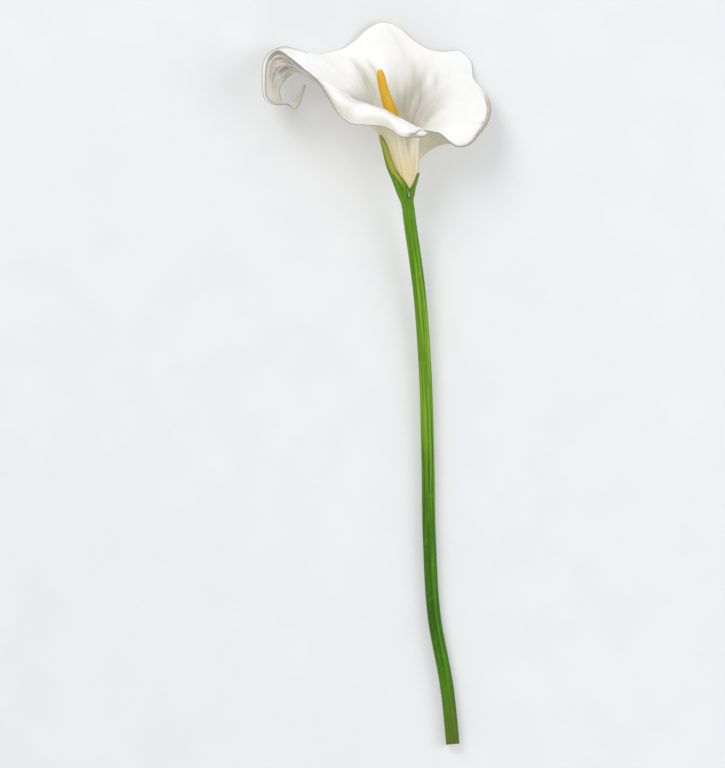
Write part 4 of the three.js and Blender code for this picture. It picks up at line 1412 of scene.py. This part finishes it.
# %% [markdown]
# The finger's skin is a grid of rings, and its round tip has a few more. Each point of it asks for the
# two little flowers that lie nearest: halfway between two of them runs a groove.

# %% The finger's skin
TIP_BACK, TIP_LENGTH, TIP_STEPS = 1.2, 1.3, 12  # the round tip: how far back it starts, and its length
THINNEST = 0.02


def packed_surface(profile, spacing, seed, columns, rows, tip):
    """A closed grid along the finger, with the two nearest little flowers of each point."""
    first, last = profile[0][0], profile[-1][0]
    end = last - TIP_BACK if tip else last
    distance = np.linspace(first, end, rows)
    radius = radius_at(profile, distance)
    if tip:
        bend = np.linspace(0, np.pi / 2, TIP_STEPS)[1:-1]
        distance = np.concatenate([distance, end + TIP_LENGTH * np.sin(bend)])
        radius = np.concatenate([radius, radius[-1] * np.cos(bend)])
    angles = 360 * np.arange(columns) / columns
    distance, angle = np.meshgrid(distance, angles, indexing="ij")
    radius = np.repeat(radius[:, None], columns, axis=1)
    places = packed_places(profile, spacing, seed)
    flowers = finder(places)
    found = [flowers.find_n(point, 2) for point in finger_points(distance, angle, radius)]
    nearest = np.array([pair[0][2] for pair in found]).reshape(distance.shape)
    second = np.array([pair[1][2] for pair in found]).reshape(distance.shape)
    owner = np.array([pair[0][1] for pair in found]).reshape(distance.shape)
    print("little flowers:", len(places))
    return distance, angle, radius, nearest, second, owner


def make_finger(name, grid_shape, height, marks, material):
    distance, angle, radius = grid_shape
    sides = distance.shape[1]
    body = finger_points(distance, angle, np.maximum(radius + height, THINNEST))
    middles = finger_at([distance[0, 0], distance[-1, 0]])
    faces = tube_faces(distance.shape[0], sides).tolist()
    faces += fan(np.arange(sides), len(body), True)
    faces += fan(np.arange(sides) + len(body) - sides, len(body) + 1, False)
    full_marks = {mark: np.concatenate([values.ravel(), [0, 0]]) for mark, values in marks.items()}
    made = make_mesh(name, np.vstack([body, middles]), faces, full_marks, material)
    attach(made, "root")
    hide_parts(name)
    return made


# %% [markdown]
# The stamens are blunt little blocks about a millimetre wide, with a groove between neighbours and a
# pore in the top of each, where the pollen comes out. Each has its own shade of yellow. Grooves and
# pores are painted darker, as shade. The lower stamens are painted a deeper gold, as shade; towards the
# tip they are paler, and a painted highlight runs down the side that lies uppermost.

# %% Stamen finish
stamen_yellow, tree = new_finish("stamen_yellow")
own_shade = mark_of(tree, "shade")
pollen = grain(tree, 0.28, 4.0)
golden = mixed(tree, own_shade, colour(222, 170, 20), colour(238, 188, 36))
bright = mixed(tree, own_shade, colour(248, 196, 44), colour(255, 212, 72))
yellow = glazed(
    # the lower stamens are painted a deeper gold, as shade
    tree, mixed(tree, mark_of(tree, "pale"), golden, bright),
    (stepped(tree, pollen, 0.45, 0.7, 0.0, 0.45), (255, 214, 76)),
    # a painted highlight down the uppermost side
    (mark_of(tree, "highlight_strip", 0.6), (255, 214, 92)),
    (mark_of(tree, "side", 0.4), (188, 132, 20)),
    # painted shade in the grooves between stamens
    (mark_of(tree, "groove_shade", 0.55), (184, 130, 14)),
    # painted shade in the pores
    (mark_of(tree, "pore", 0.5), (150, 98, 12)),
)
finish_off(
    stamen_yellow,
    {**wax(0.1, (1.0, 0.6, 0.2), 0.6), "Specular IOR Level": 0.2},
    base_color=yellow,
    roughness=stepped(tree, pollen, 0.3, 0.7, 0.62, 0.85),
    normal=raised(tree, pollen, 0.06),
)

# %% Make the yellow zone
STAMEN_WIDTH = 1.05
STAMEN_HEIGHT = 0.34
STAMEN_SINK = 0.14
STAMEN_SLOPE = 0.42  # the share of its width over which a stamen climbs out of its groove
LOWEST, TALLEST = 0.75, 1.15  # stamens, as shares of the height above
PORE_RADIUS, PORE_DEPTH = 0.13, 0.1
SLIM = 1.5  # where the finger is slimmer than this, its stamens are lower
TURNS_PALE = (50, 62)  # along the finger; the deeper gold below it is painted shade
HIGHLIGHT_ANGLE, HIGHLIGHT_WIDTH = -14, 24
SIDE_ANGLE, SIDE_WIDTH = 270, 36  # the right side lies in shadow

distance, turn_angle, radius, nearest, second, owner = packed_surface(
    MALE_ZONE, STAMEN_WIDTH, 11, columns=156, rows=400, tip=True
)
out_of_groove = rise(second - nearest, 0, STAMEN_SLOPE * STAMEN_WIDTH)
pore = hump(nearest, 0, PORE_RADIUS)
own = np.random.default_rng(5).random(owner.max() + 1)[owner]
pale = rise(distance, *TURNS_PALE)
marks = {
    "shade": own,
    "groove_shade": 1 - out_of_groove,
    "pore": pore,
    "pale": pale,
    "highlight_strip": pale * hump((turn_angle + 30) % 360 - 30, HIGHLIGHT_ANGLE, HIGHLIGHT_WIDTH),
    "side": hump(turn_angle, SIDE_ANGLE, SIDE_WIDTH),
}
height = STAMEN_HEIGHT * out_of_groove * between(LOWEST, TALLEST, own) - PORE_DEPTH * pore - STAMEN_SINK
height = height * np.clip(radius / SLIM, 0, 1)
male_zone = make_finger("spadix_male_zone", (distance, turn_angle, radius), height, marks, stamen_yellow)

# %% [markdown]
# The ovaries are rounder and twice as wide. The funnel hides them from most sides, but who looks down
# the throat, or takes the bloom apart, finds them.

# %% Ovary finish
ovary_green, tree = new_finish("ovary_green")
speckle = grain(tree, 0.5, 3.0)
green = glazed(
    tree, mixed(tree, mark_of(tree, "shade"), colour(160, 178, 92), colour(196, 206, 130)),
    (stepped(tree, speckle, 0.45, 0.7, 0.0, 0.4), (140, 160, 70)),
    # painted shade in the grooves between ovaries
    (mark_of(tree, "groove_shade", 0.7), (98, 112, 44)),
    (mark_of(tree, "stigma"), (226, 190, 98)),
)
finish_off(
    ovary_green,
    wax(0.12, (0.8, 1.0, 0.4), 0.8),
    base_color=green,
    roughness=stepped(tree, speckle, 0.3, 0.7, 0.38, 0.55),
    normal=raised(tree, speckle, 0.05),
)

# %% Make the green zone
OVARY_WIDTH = 2.1
OVARY_HEIGHT = 0.5
OVARY_SINK = 0.22
OVARY_SLOPE = 0.7
STIGMA_RADIUS, STIGMA_HEIGHT = 0.3, 0.12
FOOT_END, TOP_END = 1.5, 0.8  # the ovaries flatten out over this much at both ends

distance, turn_angle, radius, nearest, second, owner = packed_surface(
    FEMALE_ZONE, OVARY_WIDTH, 3, columns=132, rows=110, tip=False
)
out_of_groove = rise(second - nearest, 0, OVARY_SLOPE * OVARY_WIDTH)
stigma = hump(nearest, 0, STIGMA_RADIUS)
own = np.random.default_rng(9).random(owner.max() + 1)[owner]
marks = {"shade": own, "groove_shade": 1 - out_of_groove, "stigma": stigma}
ends = rise(distance - distance[0, 0], 0, FOOT_END) * rise(distance[-1, 0] - distance, 0, TOP_END)
height = ends * (OVARY_HEIGHT * out_of_groove + STIGMA_HEIGHT * stigma - OVARY_SINK)
female_zone = make_finger("spadix_female_zone", (distance, turn_angle, radius), height, marks, ovary_green)

# %% [markdown]
# ## Floor and light
#
# On pure white a white flower would melt away, so the floor is a pale grey, a shade darker than the
# bloom, and glows a little so that it stays even. One large lamp from the upper left gives the folds
# their soft shadows, two weaker ones fill from the right and from the front, and the pale world keeps
# the shadows open.

# %% Floor
FLOOR_GLOW = 0.19
floor_pale, tree = new_finish("floor_pale")
finish_off(
    floor_pale,
    {"Roughness": 0.9, "Emission Color": (1.0, 1.0, 1.0, 1.0), "Emission Strength": FLOOR_GLOW},
    base_color=two_tones(tree, grain(tree, 40), 0.3, 0.7, (214, 215, 216), (211, 212, 214)),
)
FLOOR_SIZE = 6.0
FLOOR_GAP = 0.00005
half_floor = FLOOR_SIZE / 2
floor_mesh = bpy.data.meshes.new("floor")
corners = [(x * half_floor, y * half_floor, -FLOOR_GAP) for x, y in ((-1, -1), (1, -1), (1, 1), (-1, 1))]
floor_mesh.from_pydata(corners, [], [(0, 1, 2, 3)])
floor_mesh.materials.append(floor_pale)
floor = bpy.data.objects.new("floor", floor_mesh)
bpy.context.scene.collection.objects.link(floor)
floor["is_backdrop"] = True


# %% Lamps and world
LAMPS = [
    # name, place in metres, size, watts and tint
    ("key", (-0.8, 0.95, 1.3), 1.0, 12.4, (1.0, 0.985, 0.96)),
    ("fill", (1.1, 0.1, 1.0), 1.0, 6.6, (0.97, 0.985, 1.0)),
    ("front", (0.1, -1.3, 0.9), 0.8, 4.0, (1.0, 0.99, 0.97)),
]
WORLD_TINT, WORLD_STRENGTH = (0.97, 0.98, 1.0, 1.0), 0.5

for name, place, size, watts, tint in LAMPS:
    data = bpy.data.lights.new(name, "AREA")
    data.shape = "DISK"
    data.size = size
    data.energy = watts
    data.color = tint
    lamp = bpy.data.objects.new(name, data)
    lamp.location = place
    lamp.rotation_euler = (-Vector(place)).to_track_quat("-Z", "Y").to_euler()
    bpy.context.scene.collection.objects.link(lamp)
world = bpy.data.worlds.new("studio")
world.use_nodes = True
background = world.node_tree.nodes["Background"]
background.inputs["Color"].default_value = WORLD_TINT
background.inputs["Strength"].default_value = WORLD_STRENGTH
bpy.context.scene.world = world
bpy.context.scene.view_settings.view_transform = "Standard"
print("lamps:", len(LAMPS))

# %% [markdown]
# ## The size of the dressed flower
#
# The dressed flower is meant to fill the same box as the solids. Both boxes are printed, lowest and
# highest corner each.

# %% Sizes and finish
shown_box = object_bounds()
for name, box in (("cad", cad_box), ("visual", shown_box)):
    print(name, [round(value / MM, 1) for corner in box for value in corner])
